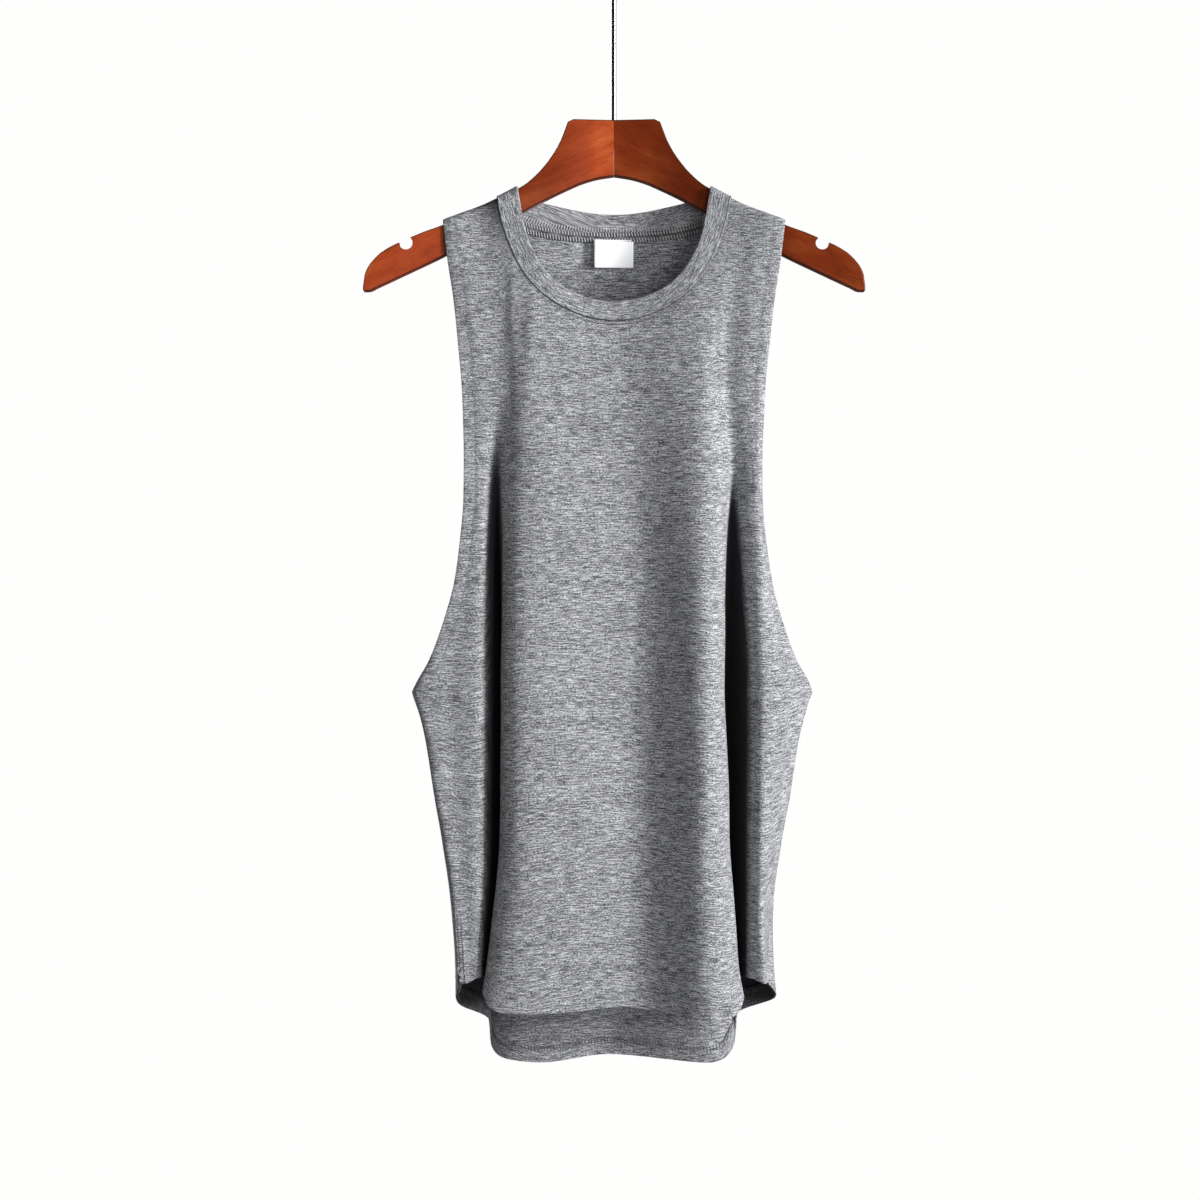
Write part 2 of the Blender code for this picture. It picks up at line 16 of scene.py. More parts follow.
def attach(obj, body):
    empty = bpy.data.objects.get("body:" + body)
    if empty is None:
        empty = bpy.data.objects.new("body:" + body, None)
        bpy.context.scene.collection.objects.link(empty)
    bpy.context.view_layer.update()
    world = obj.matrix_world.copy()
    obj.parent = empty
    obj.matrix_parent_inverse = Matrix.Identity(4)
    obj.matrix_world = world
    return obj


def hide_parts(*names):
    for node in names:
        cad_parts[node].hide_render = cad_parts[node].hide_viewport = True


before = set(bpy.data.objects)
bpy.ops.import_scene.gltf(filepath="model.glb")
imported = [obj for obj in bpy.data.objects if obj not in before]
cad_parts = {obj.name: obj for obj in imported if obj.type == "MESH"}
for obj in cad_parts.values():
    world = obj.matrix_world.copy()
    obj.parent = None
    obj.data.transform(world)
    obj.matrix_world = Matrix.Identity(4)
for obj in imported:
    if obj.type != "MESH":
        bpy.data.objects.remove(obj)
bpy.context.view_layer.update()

# %% [markdown]
# ## Where the cloth lies
# A hanging top has no plain shape to start from, so its form is written down as that of the solids was:
# short tables say how wide and how deep the cloth lies at each height below the hook, and a smooth curve
# runs through them. `drop` is the distance below the point that rests on the rail, and all sizes here are
# in millimetres. A cloth simulation could find folds by itself, but not these folds; tables keep each one
# where the real one hangs. Some rows are finer than the solids' own: the side seams, the pleats, both hems
# and the top of the hanger's block lie up to about a centimetre from where the solids have them.

# %% Curves through tables
MM = 0.001


def table(columns, *lines):
    """Rows of numbers under named columns, as one array a column."""
    return dict(zip(columns.split(), np.array(lines, float).T))


def smooth(xs, ys, x):
    """A smooth curve through the points (xs, ys) that does not swing past them, read at x."""
    step = np.diff(xs)
    slope = np.diff(ys) / step
    turn = slope[:-1] * slope[1:]
    safe = np.where(turn > 0, slope[:-1] + slope[1:], 1.0)
    inner = np.where(turn > 0, 2 * turn / safe, 0.0)
    rate = np.concatenate(([slope[0]], inner, [slope[-1]]))
    x = np.clip(x, xs[0], xs[-1])
    i = np.clip(np.searchsorted(xs, x, side="right") - 1, 0, len(step) - 1)
    t = (x - xs[i]) / step[i]
    return (
        ys[i] * (1 + 2 * t) * (1 - t) ** 2
        + rate[i] * step[i] * t * (1 - t) ** 2
        + ys[i + 1] * t * t * (3 - 2 * t)
        - rate[i + 1] * step[i] * t * t * (1 - t)
    )


def read(rows, column, drop):
    return smooth(rows["drop"], rows[column], drop)


def ease(t):
    t = np.clip(t, 0, 1)
    return t * t * (3 - 2 * t)


print("a curve through three points, read half way:", smooth(np.array([0, 1, 3]), np.array([0, 2, 3]), 1.5))

# %% Sizes: the solids' own, where no comment says otherwise
CLOTH = 1.4            # wall of the solid panels: the cloth here is thinner and lies in its middle
RIB = 2.4              # wall of the solid neck band
GAP = 0.3              # left free between solids that lie against each other
NECK_HALF = 103.5      # neck seam from the centre, at the shoulder
SHOULDER_HALF = 151.0  # armhole edge from the centre, at the shoulder
SHOULDER_RISE = 3.2    # the straight shoulder seam stands off the falling arm at its outer end
RISE_FROM = 112.0      # from here outwards the seam leaves the arm
UNDERARM_DROP = 673.0  # the lowest point of the armhole
FAN_DROP = 415.0       # above this the columns of the cloth fan in to the shoulders and the neck
SEAM_TILT = 14.0       # the left side seam hangs this far forward of the table, the right one back;
                       # the solids have 8 here
TILT_FROM = 300.0      # below this height the panels' edges begin to turn forward and back
LABEL_SIZE = (35.0, 25.0)
LABEL_DROP = 269.0

ARM_THICK = 12.0
ARM_HALF = 220.6
ARM_SWEEP = (0.12, 0.00018)   # how the arms lean forward: a straight part and a curved part
BLOCK_HALF = 41.2
WOOD_BEVEL = 2.6
NOTCH_RADIUS = 5.9
NOTCH_AT = (183.5, 277.0)
WIRE_RADIUS = 2.1
HOOK_RADIUS = 22.0
HOOK_BEND = math.radians(60)
HOOK_END = math.radians(205)
BORE_DEPTH = 26.0
print("the hanger is", 2 * ARM_HALF, "mm from tip to tip")

# %% Tables: the edges of the panels
# ---- the cloth's edges: half width and depth of the armhole, then of the side seam below it ----
FRONT_ARMHOLE = table(
    "drop x y",
    (236, 153.5, -29.5),
    (256, 151.0, -29.8),
    (293, 146.5, -30.5),
    (327, 141.3, -31.0),
    (362, 137.6, -31.0),
    (415, 133.3, -29.5),
    (468, 132.0, -27.0),
    (503, 132.5, -24.0),
    (538, 135.5, -22.0),
    (574, 140.3, -20.5),
    (609, 149.7, -19.0),
    (645, 163.0, -18.0),
    (662, 172.5, -17.4),
    (673, 177.4, -17.0),
)
BACK_ARMHOLE = table(
    "drop x y",
    (236, 153.0, -14.5),
    (256, 150.0, -14.5),
    (293, 143.0, -11.5),
    (362, 134.5, -5.0),
    (415, 130.0, -1.0),
    (468, 128.5, 3.0),
    (503, 129.0, 5.0),
    (538, 131.5, 5.5),
    (591, 141.0, 0.0),
    (627, 154.0, -7.0),
    (662, 172.0, -15.0),
    (673, 177.4, -17.0),
)
SIDE_SEAM = table(
    "drop x y",
    (673, 177.4, -17.0),
    (697, 169.4, -17.0),
    (733, 162.2, -17.0),
    (769, 156.6, -17.0),
    (804, 149.8, -17.5),
    (875, 139.9, -18.0),
    (1020, 132.0, -19.0),
)
print("at the underarms the cloth is", 2 * float(SIDE_SEAM["x"][0]), "mm wide")

# %% Tables: the folds
# ---- the folds: a pleat on each side of the front and of the back. Going in from the edge a section crosses
# the wing, the pleat's outer lip, its root, the roll of the middle part, and the crest of the middle part.
FOLD_COLUMNS = "drop wing_x wing_y lip_x lip_y root_x root_y roll_x roll_y crest_x crest_y"
FRONT_LEFT = table(
    FOLD_COLUMNS,
    (236, 146, -29.8, 134, -27.5, 124, -25.8, 104, -22.5, 60, -20),
    (290, 141, -31.0, 130, -30.0, 120, -28.0, 103, -27.0, 66, -27),
    (360, 133, -31.5, 121, -31.5, 103, -29.8, 92, -31.0, 77, -35.0),
    (415, 128.5, -31.5, 117, -30.5, 102, -28.5, 93, -30.8, 79, -36.0),
    (485, 126.5, -31.5, 116, -30, 104, -21.5, 95.5, -30, 80, -38),
    (555, 129, -31, 116.5, -29.5, 102, -9.0, 96.5, -30, 84, -40),
    (610, 136, -31, 116.5, -29.5, 101, 2.0, 97.5, -30, 85, -41),
    (673, 146, -31, 115.5, -29.5, 100.5, 12.0, 98.5, -30.0, 85, -41),
    (735, 141, -31, 115.5, -29, 101, 15.0, 99, -30.0, 85, -41.5),
    (805, 136, -31, 115.8, -29, 101.5, 17.0, 100, -30.5, 85, -42),
    (875, 131, -31, 119, -29, 105, 17.0, 106, -31.0, 86, -42.5),
    (910, 129.5, -31.2, 120.5, -29.5, 107, 16.5, 110, -32.0, 86, -42.8),
    (960, 128, -31.5, 121.5, -30, 109.5, 16.0, 118, -34.0, 87, -43),
)
FRONT_RIGHT = table(
    FOLD_COLUMNS,
    (236, 146, -29.8, 134, -27.5, 124, -25.8, 104, -22.5, 62, -20),
    (290, 141, -31.0, 127, -31.5, 110, -28.5, 97, -28.0, 69, -27),
    (360, 134, -31.5, 118, -32.5, 100, -29.5, 91.5, -32.5, 78, -36),
    (415, 129, -30.5, 116, -31.0, 101, -28.0, 93, -32.5, 79, -39),
    (485, 127, -28.0, 119, -26.5, 105, -19.0, 97, -31.5, 79, -42.5),
    (555, 130, -26.0, 119, -23.0, 102, -7.0, 97, -30, 80, -45.5),
    (610, 131, -26.0, 120.5, -21, 100.5, 2.0, 96, -29.5, 80, -46),
    (673, 133, -27.0, 122.5, -20.0, 99.5, 12.0, 96, -29.5, 81, -47),
    (735, 131.5, -28.0, 122.5, -20.5, 100.5, 15.0, 98.5, -30, 81, -48),
    (805, 130, -28.5, 122, -21, 102, 17.0, 100.5, -30.5, 81, -49),
    (875, 129, -29, 120.8, -22.0, 106, 17.0, 105.5, -31.5, 82, -50),
    (910, 132.5, -30, 121, -23, 108, 16.5, 107.5, -32.0, 83, -50.5),
    (960, 135, -30, 120.5, -23, 111, 16.0, 117, -34.0, 85, -51),
)
FRONT_MIDDLE = table(
    "drop x y",
    (236, 0, -18),
    (290, 0, -21),
    (343, 0, -25),
    (415, 10, -26.5),
    (555, 22, -25.5),
    (673, 28, -25),
    (805, 28, -25),
    (960, 28, -25.5),
)
BACK_SIDES = table(
    FOLD_COLUMNS,
    (236, 146, -13.5, 134, -12.0, 124, -10.0, 104, -6.5, 60, 0.5),
    (290, 138, -10.0, 128, -7.0, 118, -5.0, 103, -1.0, 66, 4.0),
    (360, 129, -2.0, 120, 1.0, 110, 3.0, 97, 6.5, 70, 9.0),
    (415, 126, 3.0, 117, 6.0, 108, 8.0, 95, 12.0, 72, 12.5),
    (485, 124, 8.0, 116, 12.0, 107, 13.0, 95, 18.5, 73, 17.5),
    (555, 127, 12.0, 117, 18.0, 109, 17.0, 98, 25.0, 74, 23),
    (610, 136, 13.0, 118, 23.0, 110, 22.0, 100, 30.0, 74, 27),
    (673, 160, 4.0, 118, 26.0, 110, 27.0, 102, 35.0, 74, 31),
    (735, 154, 4.0, 117, 28.0, 110, 29.0, 103, 38.5, 75, 33),
    (805, 146, 4.0, 116, 30.0, 110, 31.0, 104, 41.0, 77, 34),
    (875, 141, 4.0, 114, 33.0, 109.5, 37, 104, 41.0, 80, 33),
    (925, 139.5, 4.0, 113.2, 35.0, 110, 39, 104, 38.5, 82, 31.5),
    (1016, 138, 4.0, 112, 35.0, 110.5, 39, 104, 33.5, 85, 29.5),
)
BACK_RIGHT = dict(BACK_SIDES)   # the right wing stands out further towards the hem
BACK_RIGHT["wing_x"] = np.array((146, 138, 129, 126, 124, 127, 136, 160, 154, 146, 142, 144, 153.0))
BACK_MIDDLE = table(
    "drop x y",
    (236, 0, 4),
    (290, 0, 9),
    (360, 0, 16),
    (485, -1, 29),
    (610, -2, 42),
    (735, -3, 52),
    (875, -5, 55),
    (1016, -6, 49),
)
print("heights with folds:", len(FRONT_LEFT["drop"]), "in front and", len(BACK_SIDES["drop"]), "behind")

# %% Tables: hems and neck
# ---- lower edges: `at` counts control lines across the panel, from 0 at the left edge to 12 ----
FRONT_HEM = table(
    "at drop",
    (0, 930), (1, 929), (2, 925), (3, 928), (4, 940), (4.3, 949), (4.6, 953), (5, 955),
    (5.35, 954.8), (5.78, 951), (6, 953), (6.6, 958), (7, 960), (7.35, 958.5), (7.7, 954),
    (8, 945), (9, 932), (10, 926), (11, 930), (12, 930),
)
BACK_HEM = table(
    "at drop",
    (0, 931), (1, 953), (2, 972), (3, 998), (4, 1005), (4.4, 1007), (5, 1009), (5.35, 1011),
    (6, 1006.3), (7, 1010.4), (7.6, 1008), (8, 1003.5), (9, 990), (10, 966), (11, 946), (12, 931),
)

# ---- the neck: where the band is sewn on, and its free edge, from the shoulder to the middle ----
FRONT_NECK_SEAM = table(
    "x drop",
    (103.5, 236.5), (100.5, 252), (96.5, 266), (92, 278), (86.5, 290), (74.5, 309), (57, 325.5),
    (37, 336.5), (18, 342.3), (0, 344.4),
)
FRONT_NECK_TOP = table(
    "x drop",
    (85.5, 227.0), (81.5, 248), (76, 271.5), (65.5, 293.5), (51, 310.5), (37, 319.0),
    (20, 325.2), (0, 327.6),
)
BACK_NECK_SEAM = table(
    "x drop",
    (103.5, 236.5), (96, 245), (85, 251.5), (66, 257.5), (34, 261.5), (0, 262.5),
)
BACK_NECK_TOP = table(
    "x drop",
    (85.5, 227.0), (76, 232.7), (63, 236.8), (45, 240.8), (28.6, 244), (12, 246.1), (0, 246.6),
)
print("the tail hangs", float(BACK_HEM["drop"].max() - FRONT_HEM["drop"].max()), "mm below the front")

# %% Tables: the outline of the hanger
# ---- the hanger's outline, seen from the front ----
ARM_TOP = table(
    "x drop",
    (0, 163.4), (37.0, 163.4), (41.6, 166.5), (45.4, 178.0), (51.4, 190.3), (58.8, 201.6), (67.5, 212.1),
    (78.9, 222.4), (89.5, 228.8), (104, 236.6), (127, 248.3), (153, 261), (168, 266.8), (180, 272.3),
    (201.7, 283.5), (213, 294.2), (219, 305), (220.6, 316),
)
ARM_BOTTOM = table(
    "x drop",
    (0, 213.2), (14, 215.7), (27.5, 219.8), (40, 225.4), (62, 236.6), (105.5, 262), (149, 287),
    (181.2, 303.4), (208, 316.8), (215, 320.2), (220.6, 320.5),
)
print("points on the hanger's top and bottom:", len(ARM_TOP["x"]), len(ARM_BOTTOM["x"]))

# %% [markdown]
# ## A panel as plan sections
# Cut the hanging cloth level and it shows a wavy line: over the wing at the side, in through the pleat, out
# along the middle. Thirteen control points make that line at any height. A curve through points that never
# overshoots between close ones (a centripetal Catmull-Rom curve) joins them, so a narrow pleat stays clean.
# Close to the shoulder the same section is rolled over the hanger's arm.

# %% Sections of the cloth
SHOULDER_ROLL = ARM_THICK / 2 + CLOTH   # how far down the cloth is still turning over the arm
SLANT = 1.15     # length of a neck curve for each millimetre that it drops, close to the shoulder
LINES = 12       # control lines are numbered 0 to 12 across a panel
NECK_LINE = 4    # the control line that meets the shoulder end of the neck seam
MIDDLE_LINE = 6
TURN_SHARE = 4 / 9    # this share of the first line's width is the neck curve's turn over the arm
SHOULDER_GAP = 0.06   # the panels all but touch at the shoulder seam
JOIN_LENGTH = 50      # over this height the section starts to run on into the other panel
HALVINGS = 24         # steps of the search for the place across that has a given x
CURVE_POINTS = 600    # points that a neck curve is measured with


def along_bones(bones, at):
    """Points on the curve through each section's control points, at places from 0 to 12."""
    points, knots = bones
    segment = np.clip(at.astype(int), 0, LINES - 1)
    t = (at - segment)[:, None]
    n = np.arange(len(points))
    a, b, c, d = (points[n, segment + k] for k in range(4))
    h0, h1, h2 = (knots[n, segment + k][:, None] for k in range(3))
    start = h1 * ((b - a) / h0 - (c - a) / (h0 + h1) + (c - b) / h1)
    end = h1 * ((c - b) / h1 - (d - b) / (h1 + h2) + (d - c) / h2)
    return (
        b * (1 + 2 * t) * (1 - t) ** 2
        + start * t * (1 - t) ** 2
        + c * t * t * (3 - 2 * t)
        - end * t * t * (1 - t)
    )


class Panel:
    """One side of the body: its tables, and which way it lies from the hanger (-1 front, +1 back)."""

    def __init__(self, way, armhole, left, right, middle, hem, neck_seam):
        self.way, self.armhole = way, armhole
        self.left, self.right, self.middle = left, right, middle
        self.hem, self.neck_seam = hem, neck_seam
        self.other = None

    def edge(self, drop):
        """Half width and depth of the panel's edge: the armhole, then the side seam."""
        low = drop > UNDERARM_DROP
        return [
            np.where(low, read(SIDE_SEAM, c, drop), read(self.armhole, c, drop)) for c in "xy"
        ]

    def controls(self, drop):
        """The thirteen control points of the plan section at each height, shape (n, 13, 2)."""
        x, y = self.edge(drop)
        tilt = SEAM_TILT * ease((drop - TILT_FROM) / (UNDERARM_DROP - TILT_FROM))
        points = [(-x, y - tilt)]
        for name in ("wing", "lip", "root", "roll", "crest"):
            points.append([s * read(self.left, f"{name}_{c}", drop) for c, s in (("x", -1), ("y", 1))])
        points.append([read(self.middle, c, drop) for c in "xy"])
        for name in ("crest", "roll", "root", "lip", "wing"):
            points.append([read(self.right, f"{name}_{c}", drop) for c in "xy"])
        points.append((x, y + tilt))
        return np.stack([np.stack(p, axis=-1) for p in points], axis=1)

    def bones(self, drop):
        """Control points at each height with one more beyond each end, and the steps between them."""
        own, far = self.controls(drop), self.other.controls(drop)
        joined = ease((drop - UNDERARM_DROP) / JOIN_LENGTH + 1)[:, None]
        before = (2 * own[:, 0] - own[:, 1]) * (1 - joined) + far[:, 1] * joined
        after = (2 * own[:, -1] - own[:, -2]) * (1 - joined) + far[:, -2] * joined
        points = np.concatenate((before[:, None], own, after[:, None]), axis=1)
        return points, np.sqrt(np.linalg.norm(np.diff(points, axis=1), axis=2)) + 1e-6

    def plan(self, drop, at):
        """Where the cloth lies in plan, (x, y), at each height and each place across (0 to 12)."""
        drop, at = np.broadcast_arrays(np.asarray(drop, float), np.asarray(at, float))
        return along_bones(self.bones(drop), at)

    def place(self, x, drop, lift=0.0):
        """The point of the cloth at a given x and height above the pleats, folded over the hanger's arm."""
        x, drop = np.broadcast_arrays(np.asarray(x, float), np.asarray(drop, float))
        bones = self.bones(drop)
        low, high = np.zeros(len(x)), np.full(len(x), float(LINES))
        for _ in range(HALVINGS):
            half = (low + high) / 2
            left_of = along_bones(bones, half)[:, 0] < x
            low, high = np.where(left_of, half, low), np.where(left_of, high, half)
        depth = along_bones(bones, half)[:, 1]
        middle = arm_depth(x) + self.way * SHOULDER_GAP
        down = np.clip((drop - shoulder_drop(x, lift)) / SHOULDER_ROLL, 0, 1)
        depth = middle + (depth - middle) * (1 - (1 - down) ** 3) ** (1 / 3)
        return np.stack((x, depth, -drop), axis=-1)


def arm_depth(x):
    """Depth of the hanger's middle plane: the arms lean forward from the middle to the tips."""
    straight, curved = ARM_SWEEP
    return -(straight * np.abs(x) + curved * x * x)


def shoulder_drop(x, lift=0.0):
    """Height of the cloth where it crosses over the hanger's arm."""
    wood = smooth(ARM_TOP["x"], ARM_TOP["drop"], np.abs(x))
    stands_off = SHOULDER_RISE * ease((np.abs(x) - RISE_FROM) / (SHOULDER_HALF - RISE_FROM))
    return wood - CLOTH / 2 - 2 * GAP - stands_off - lift


def neck_point(rows, at, lift=0.0):
    """A point (x, drop) on a neck curve, for a place across between the neck line and the middle line."""
    knots = np.arange(len(rows["x"]))
    drops = rows["drop"].copy()
    drops[0] = shoulder_drop(rows["x"][0], lift)
    fine = np.linspace(0, knots[-1], CURVE_POINTS)
    x, drop = smooth(knots, rows["x"], fine), smooth(knots, drops, fine)
    length = np.concatenate(([0], np.cumsum(np.hypot(np.diff(x), np.diff(drop)))))
    past = np.clip(at - NECK_LINE, 0, MIDDLE_LINE - NECK_LINE)
    turned = SLANT * SHOULDER_ROLL
    over = turned * (1 - np.cos(np.clip(past / TURN_SHARE, 0, 1) * math.pi / 2))
    half = length[-1] / 2
    rest = turned + (half - turned) * np.clip((past - TURN_SHARE) / (1 - TURN_SHARE), 0, 1)
    walked = np.where(past <= TURN_SHARE, over, rest) + half * np.clip(past - 1, 0, 1)
    return np.interp(walked, length, x), np.interp(walked, length, drop)


front = Panel(-1, FRONT_ARMHOLE, FRONT_LEFT, FRONT_RIGHT, FRONT_MIDDLE, FRONT_HEM, FRONT_NECK_SEAM)
back = Panel(1, BACK_ARMHOLE, BACK_SIDES, BACK_RIGHT, BACK_MIDDLE, BACK_HEM, BACK_NECK_SEAM)
front.other, back.other = back, front
PANELS = (("front", front), ("back", back))
middle_of_front = front.plan(np.array([600.0]), np.array([6.0]))[0]
print("the middle of the front, 600 mm below the hook, is at x, y =", middle_of_front.round(1), "mm")

# %% Many points on a panel
DENSE_ACROSS = (18, 12, 12, 26, 44, 26, 26, 44, 26, 12, 12, 18)   # places from one control line to the next
TURN_ROWS = 16                                # rows that turn over the arm
FAN_ROWS, MID_ROWS, LOW_ROWS = 110, 110, 120   # rows down to the fan's end, the underarm and the hem


def dense_points(panel):
    """Rows of close points in the middle of the cloth's wall, from the shoulder and neck to the hem."""
    parts = [np.linspace(k, k + 1, n, endpoint=False) for k, n in enumerate(DENSE_ACROSS)]
    at = np.concatenate(parts + [[float(LINES)]])
    side = np.where(at > MIDDLE_LINE, 1, -1)
    inward = np.where(at > MIDDLE_LINE, LINES - at, at)
    seam_x, seam_drop = neck_point(panel.neck_seam, inward)
    strap_x = SHOULDER_HALF + (NECK_HALF - SHOULDER_HALF) * np.clip(inward / NECK_LINE, 0, 1)
    top_x = side * np.where(inward > NECK_LINE, seam_x, strap_x)
    top_drop = np.where(inward > NECK_LINE, seam_drop, shoulder_drop(strap_x))
    fan_x = panel.plan(np.full(len(at), FAN_DROP), at)[:, 0]

    roll = SHOULDER_ROLL * (1 - np.cos(np.linspace(0, math.pi / 2, TURN_ROWS + 1)))
    grid = []
    for k in range(FAN_ROWS):
        if k <= TURN_ROWS:
            drop = top_drop + roll[k]
        else:
            start = top_drop + roll[-1]
            drop = start + (FAN_DROP - start) * (k - TURN_ROWS) / (FAN_ROWS - TURN_ROWS)
        down = (drop - top_drop) / (FAN_DROP - top_drop)
        x = top_x + (fan_x - top_x) * down
        off = panel.edge(drop[:1])[0][0] + x[0]
        if k:
            x = x + side * off * (1 - inward / MIDDLE_LINE)
        grid.append(panel.place(x, drop))
    for k in range(MID_ROWS):
        drop = np.full(len(at), FAN_DROP + (UNDERARM_DROP - FAN_DROP) * k / MID_ROWS)
        grid.append(np.column_stack((panel.plan(drop, at), -drop)))
    hem = smooth(panel.hem["at"], panel.hem["drop"], at)
    for k in range(LOW_ROWS + 1):
        drop = UNDERARM_DROP + (hem - UNDERARM_DROP) * k / LOW_ROWS
        grid.append(np.column_stack((panel.plan(drop, at), -drop)))
    return np.array(grid)


dense = {panel: dense_points(panel) for _, panel in PANELS}
print("points on the front:", dense[front].shape[:2])

# %% [markdown]
# ## Turned edges
# The real armholes and hems are cut, turned once to the inside and stitched. A flat cut edge would look
# like paper, so the grid of each panel runs on past its edge, round a small fold and back up on the inside.
# Columns are laid at fixed distances from the edge, so that the fold, the stitching groove and the turned
# allowance stay the same width however the cloth narrows.

# %% Lines at set distances from the edges
WALL = 0.7      # the real jersey's thickness
FOLD = 0.42     # radius of a turned edge, to the middle of the wall
SIDE_LINES = (0, 0.123, FOLD, 2, 3.6, 4.4, 5.2, 7, 9, 10, 11, 13)   # distances in from an armhole or side
HEM_LINES = (0, 0.123, FOLD, 3, 6.5, 9.5, 11, 12, 13, 15, 17)       # distances up from a hem
SIDE_TURNED, HEM_TURNED = 10, 9      # the turned allowance ends at these lines
SIDE_STITCH, HEM_STITCH = 9, 7       # the stitching runs along these lines
SEAM_BACK = FOLD - 0.02              # at a side seam each panel's fold stands back this far
INNER_COLUMNS, INNER_ROWS = 148, 186
TOP_LINES = (16, 13, 11, 9, 7, 5, 3, 0)     # close rows that are kept below the shoulder and the neck
TURN_OUT = (1 - math.sqrt(0.5)) / 2         # how far in a turned edge lies at 45 degrees round its fold
TURN_IN = (1 + math.sqrt(0.5)) / 2          # and at 135 degrees
SLANT_POINTS = 6                            # a row's slant is taken over this many points from its edge
SLANT_WINDOW = 9                            # rows that the slant is averaged over
STEEPEST = 0.75                             # cosine past which a slant counts no further


def walk(points):
    """Length walked along each row of points."""
    step = np.linalg.norm(np.diff(points, axis=1), axis=2)
    return np.concatenate((np.zeros((len(points), 1)), np.cumsum(step, axis=1)), axis=1)


def read_rows(points, places):
    """Each row of points read between its columns, at fractional column numbers."""
    i = np.clip(places.astype(int), 0, points.shape[1] - 2)
    t = (places - i)[..., None]
    rows = np.arange(len(points))[:, None]
    return points[rows, i] * (1 - t) + points[rows, i + 1] * t


def slanting(points):
    """How much longer a row's way in from its first column is than the distance from the edge."""
    across = points[:, SLANT_POINTS] - points[:, 0]
    along = np.gradient(points[:, 0], axis=0)
    cosine = (across * along).sum(1) / np.linalg.norm(across, axis=1) / np.linalg.norm(along, axis=1)
    longer = 1 / np.sqrt(1 - np.clip(cosine, -STEEPEST, STEEPEST) ** 2)
    padded = np.pad(longer, SLANT_WINDOW // 2, mode="edge")
    return np.convolve(padded, np.ones(SLANT_WINDOW) / SLANT_WINDOW, mode="valid")


def from_edge(points, distances):
    """Column numbers that lie at these distances in from the first column of each row."""
    length, slant = walk(points), slanting(points)
    numbers = np.arange(points.shape[1])
    wanted = slant[:, None] * np.array(distances)
    return np.array([np.interp(w, row, numbers) for w, row in zip(wanted, length)])


def lay_columns(points):
    """The same rows with columns at set distances from both edges, and even ones between them."""
    last = points.shape[1] - 1
    left = from_edge(points, SIDE_LINES)
    right = last - from_edge(points[:, ::-1], SIDE_LINES)[:, ::-1]
    share = np.linspace(0, 1, INNER_COLUMNS + 2)[1:-1]
    inner = left[:, -1:] + (right[:, :1] - left[:, -1:]) * share
    return read_rows(points, np.concatenate((left, inner, right), axis=1))


def lay_rows(points):
    """The same columns with rows at set distances up from the hem, and close ones at the top."""
    columns = points.transpose(1, 0, 2)[:, ::-1]
    hem = from_edge(columns, HEM_LINES)
    top = columns.shape[1] - 1 - np.array(TOP_LINES)
    share = np.linspace(0, 1, INNER_ROWS + 1)[1:-1]
    rest = hem[:, -1:] + (top[0] - hem[:, -1:]) * share
    top = np.broadcast_to(top, (len(columns), len(top)))
    return read_rows(columns, np.concatenate((hem, rest, top), axis=1))[:, ::-1].transpose(1, 0, 2)


def stand_back(points, distance):
    """Moves both edges below the underarm in along their rows, to leave room for the folds at the seam."""
    below = ease((-points[:, 0, 2] - UNDERARM_DROP) / 6 + 1)[:, None]
    moved = points.copy()
    for edge, inner in ((0, 3), (-1, -4)):
        along = points[:, inner] - points[:, edge]
        moved[:, edge] += distance * below * along / np.linalg.norm(along, axis=1)[:, None]
    return moved


base = {panel: lay_rows(lay_columns(stand_back(dense[panel], SEAM_BACK))) for _, panel in PANELS}
print("the grid of a panel, without its allowances:", base[front].shape[:2])

# %% [markdown]
# ## Grooves, puckers and soft creases
# A line of stitches pulls the cloth in, the turned allowance under it lifts it a little, and between the
# stitches the edge puckers. Hanging jersey also has low soft waves that no table holds. They are added as
# small moves along the cloth's own normal, as a sculptor's brush would, so that they catch real light.

# %% Small moves along the normal
STITCH_DIP, HEM_DIP = 0.22, 0.2         # how deep the stitching pulls in an armhole's edge and a hem
ALLOWANCE_LIFT = 0.16                   # how far the turned allowance lifts the cloth over it
ARMHOLE_PUCKER, HEM_PUCKER = 0.07, 0.10
NECK_GROOVES = ((0.7, 0.7, 0.5), (3.9, 0.8, 0.45))   # distance below the neck seam, width, depth
WAVES_FROM, WAVES_GROW = 12, 50         # soft waves start this far below the top and grow over this length
STRAP_CREASES = ((-89, 284, 1.7), (-73, 300, 1.5))   # x, height of the top end, how far it stands out
CREASE_WIDTH, CREASE_RISE = 5.5, 34
CREASE_END, CREASE_FALL = 405, 45       # the creases have died away here, over this length


def facing(points, way):
    """Unit normals that point to the wearer's side of a panel."""
    across = np.gradient(points, axis=1)
    down = np.gradient(points, axis=0)
    normal = np.cross(across, down) * -way
    return normal / np.maximum(np.linalg.norm(normal, axis=2, keepdims=True), 1e-9)


def groove(distance, centre, width):
    return np.exp(-(((distance - centre) / width) ** 2))


def line_distances(count, lines, at_end):
    """Distance from the edge for each line of a grid, with a large number away from the edges."""
    far = np.full(count, 99.0)
    far[count - len(lines):] = lines[::-1]
    if not at_end:
        far[: len(lines)] = lines
    return far


def creases(x, drop):
    """Soft ridges that start below the left strap and run out into the front's own folds."""
    ridges = [
        out * groove(x, at, CREASE_WIDTH) * ease((drop - top) / CREASE_RISE) for at, top, out in STRAP_CREASES
    ]
    return sum(ridges) * ease((CREASE_END - drop) / CREASE_FALL)


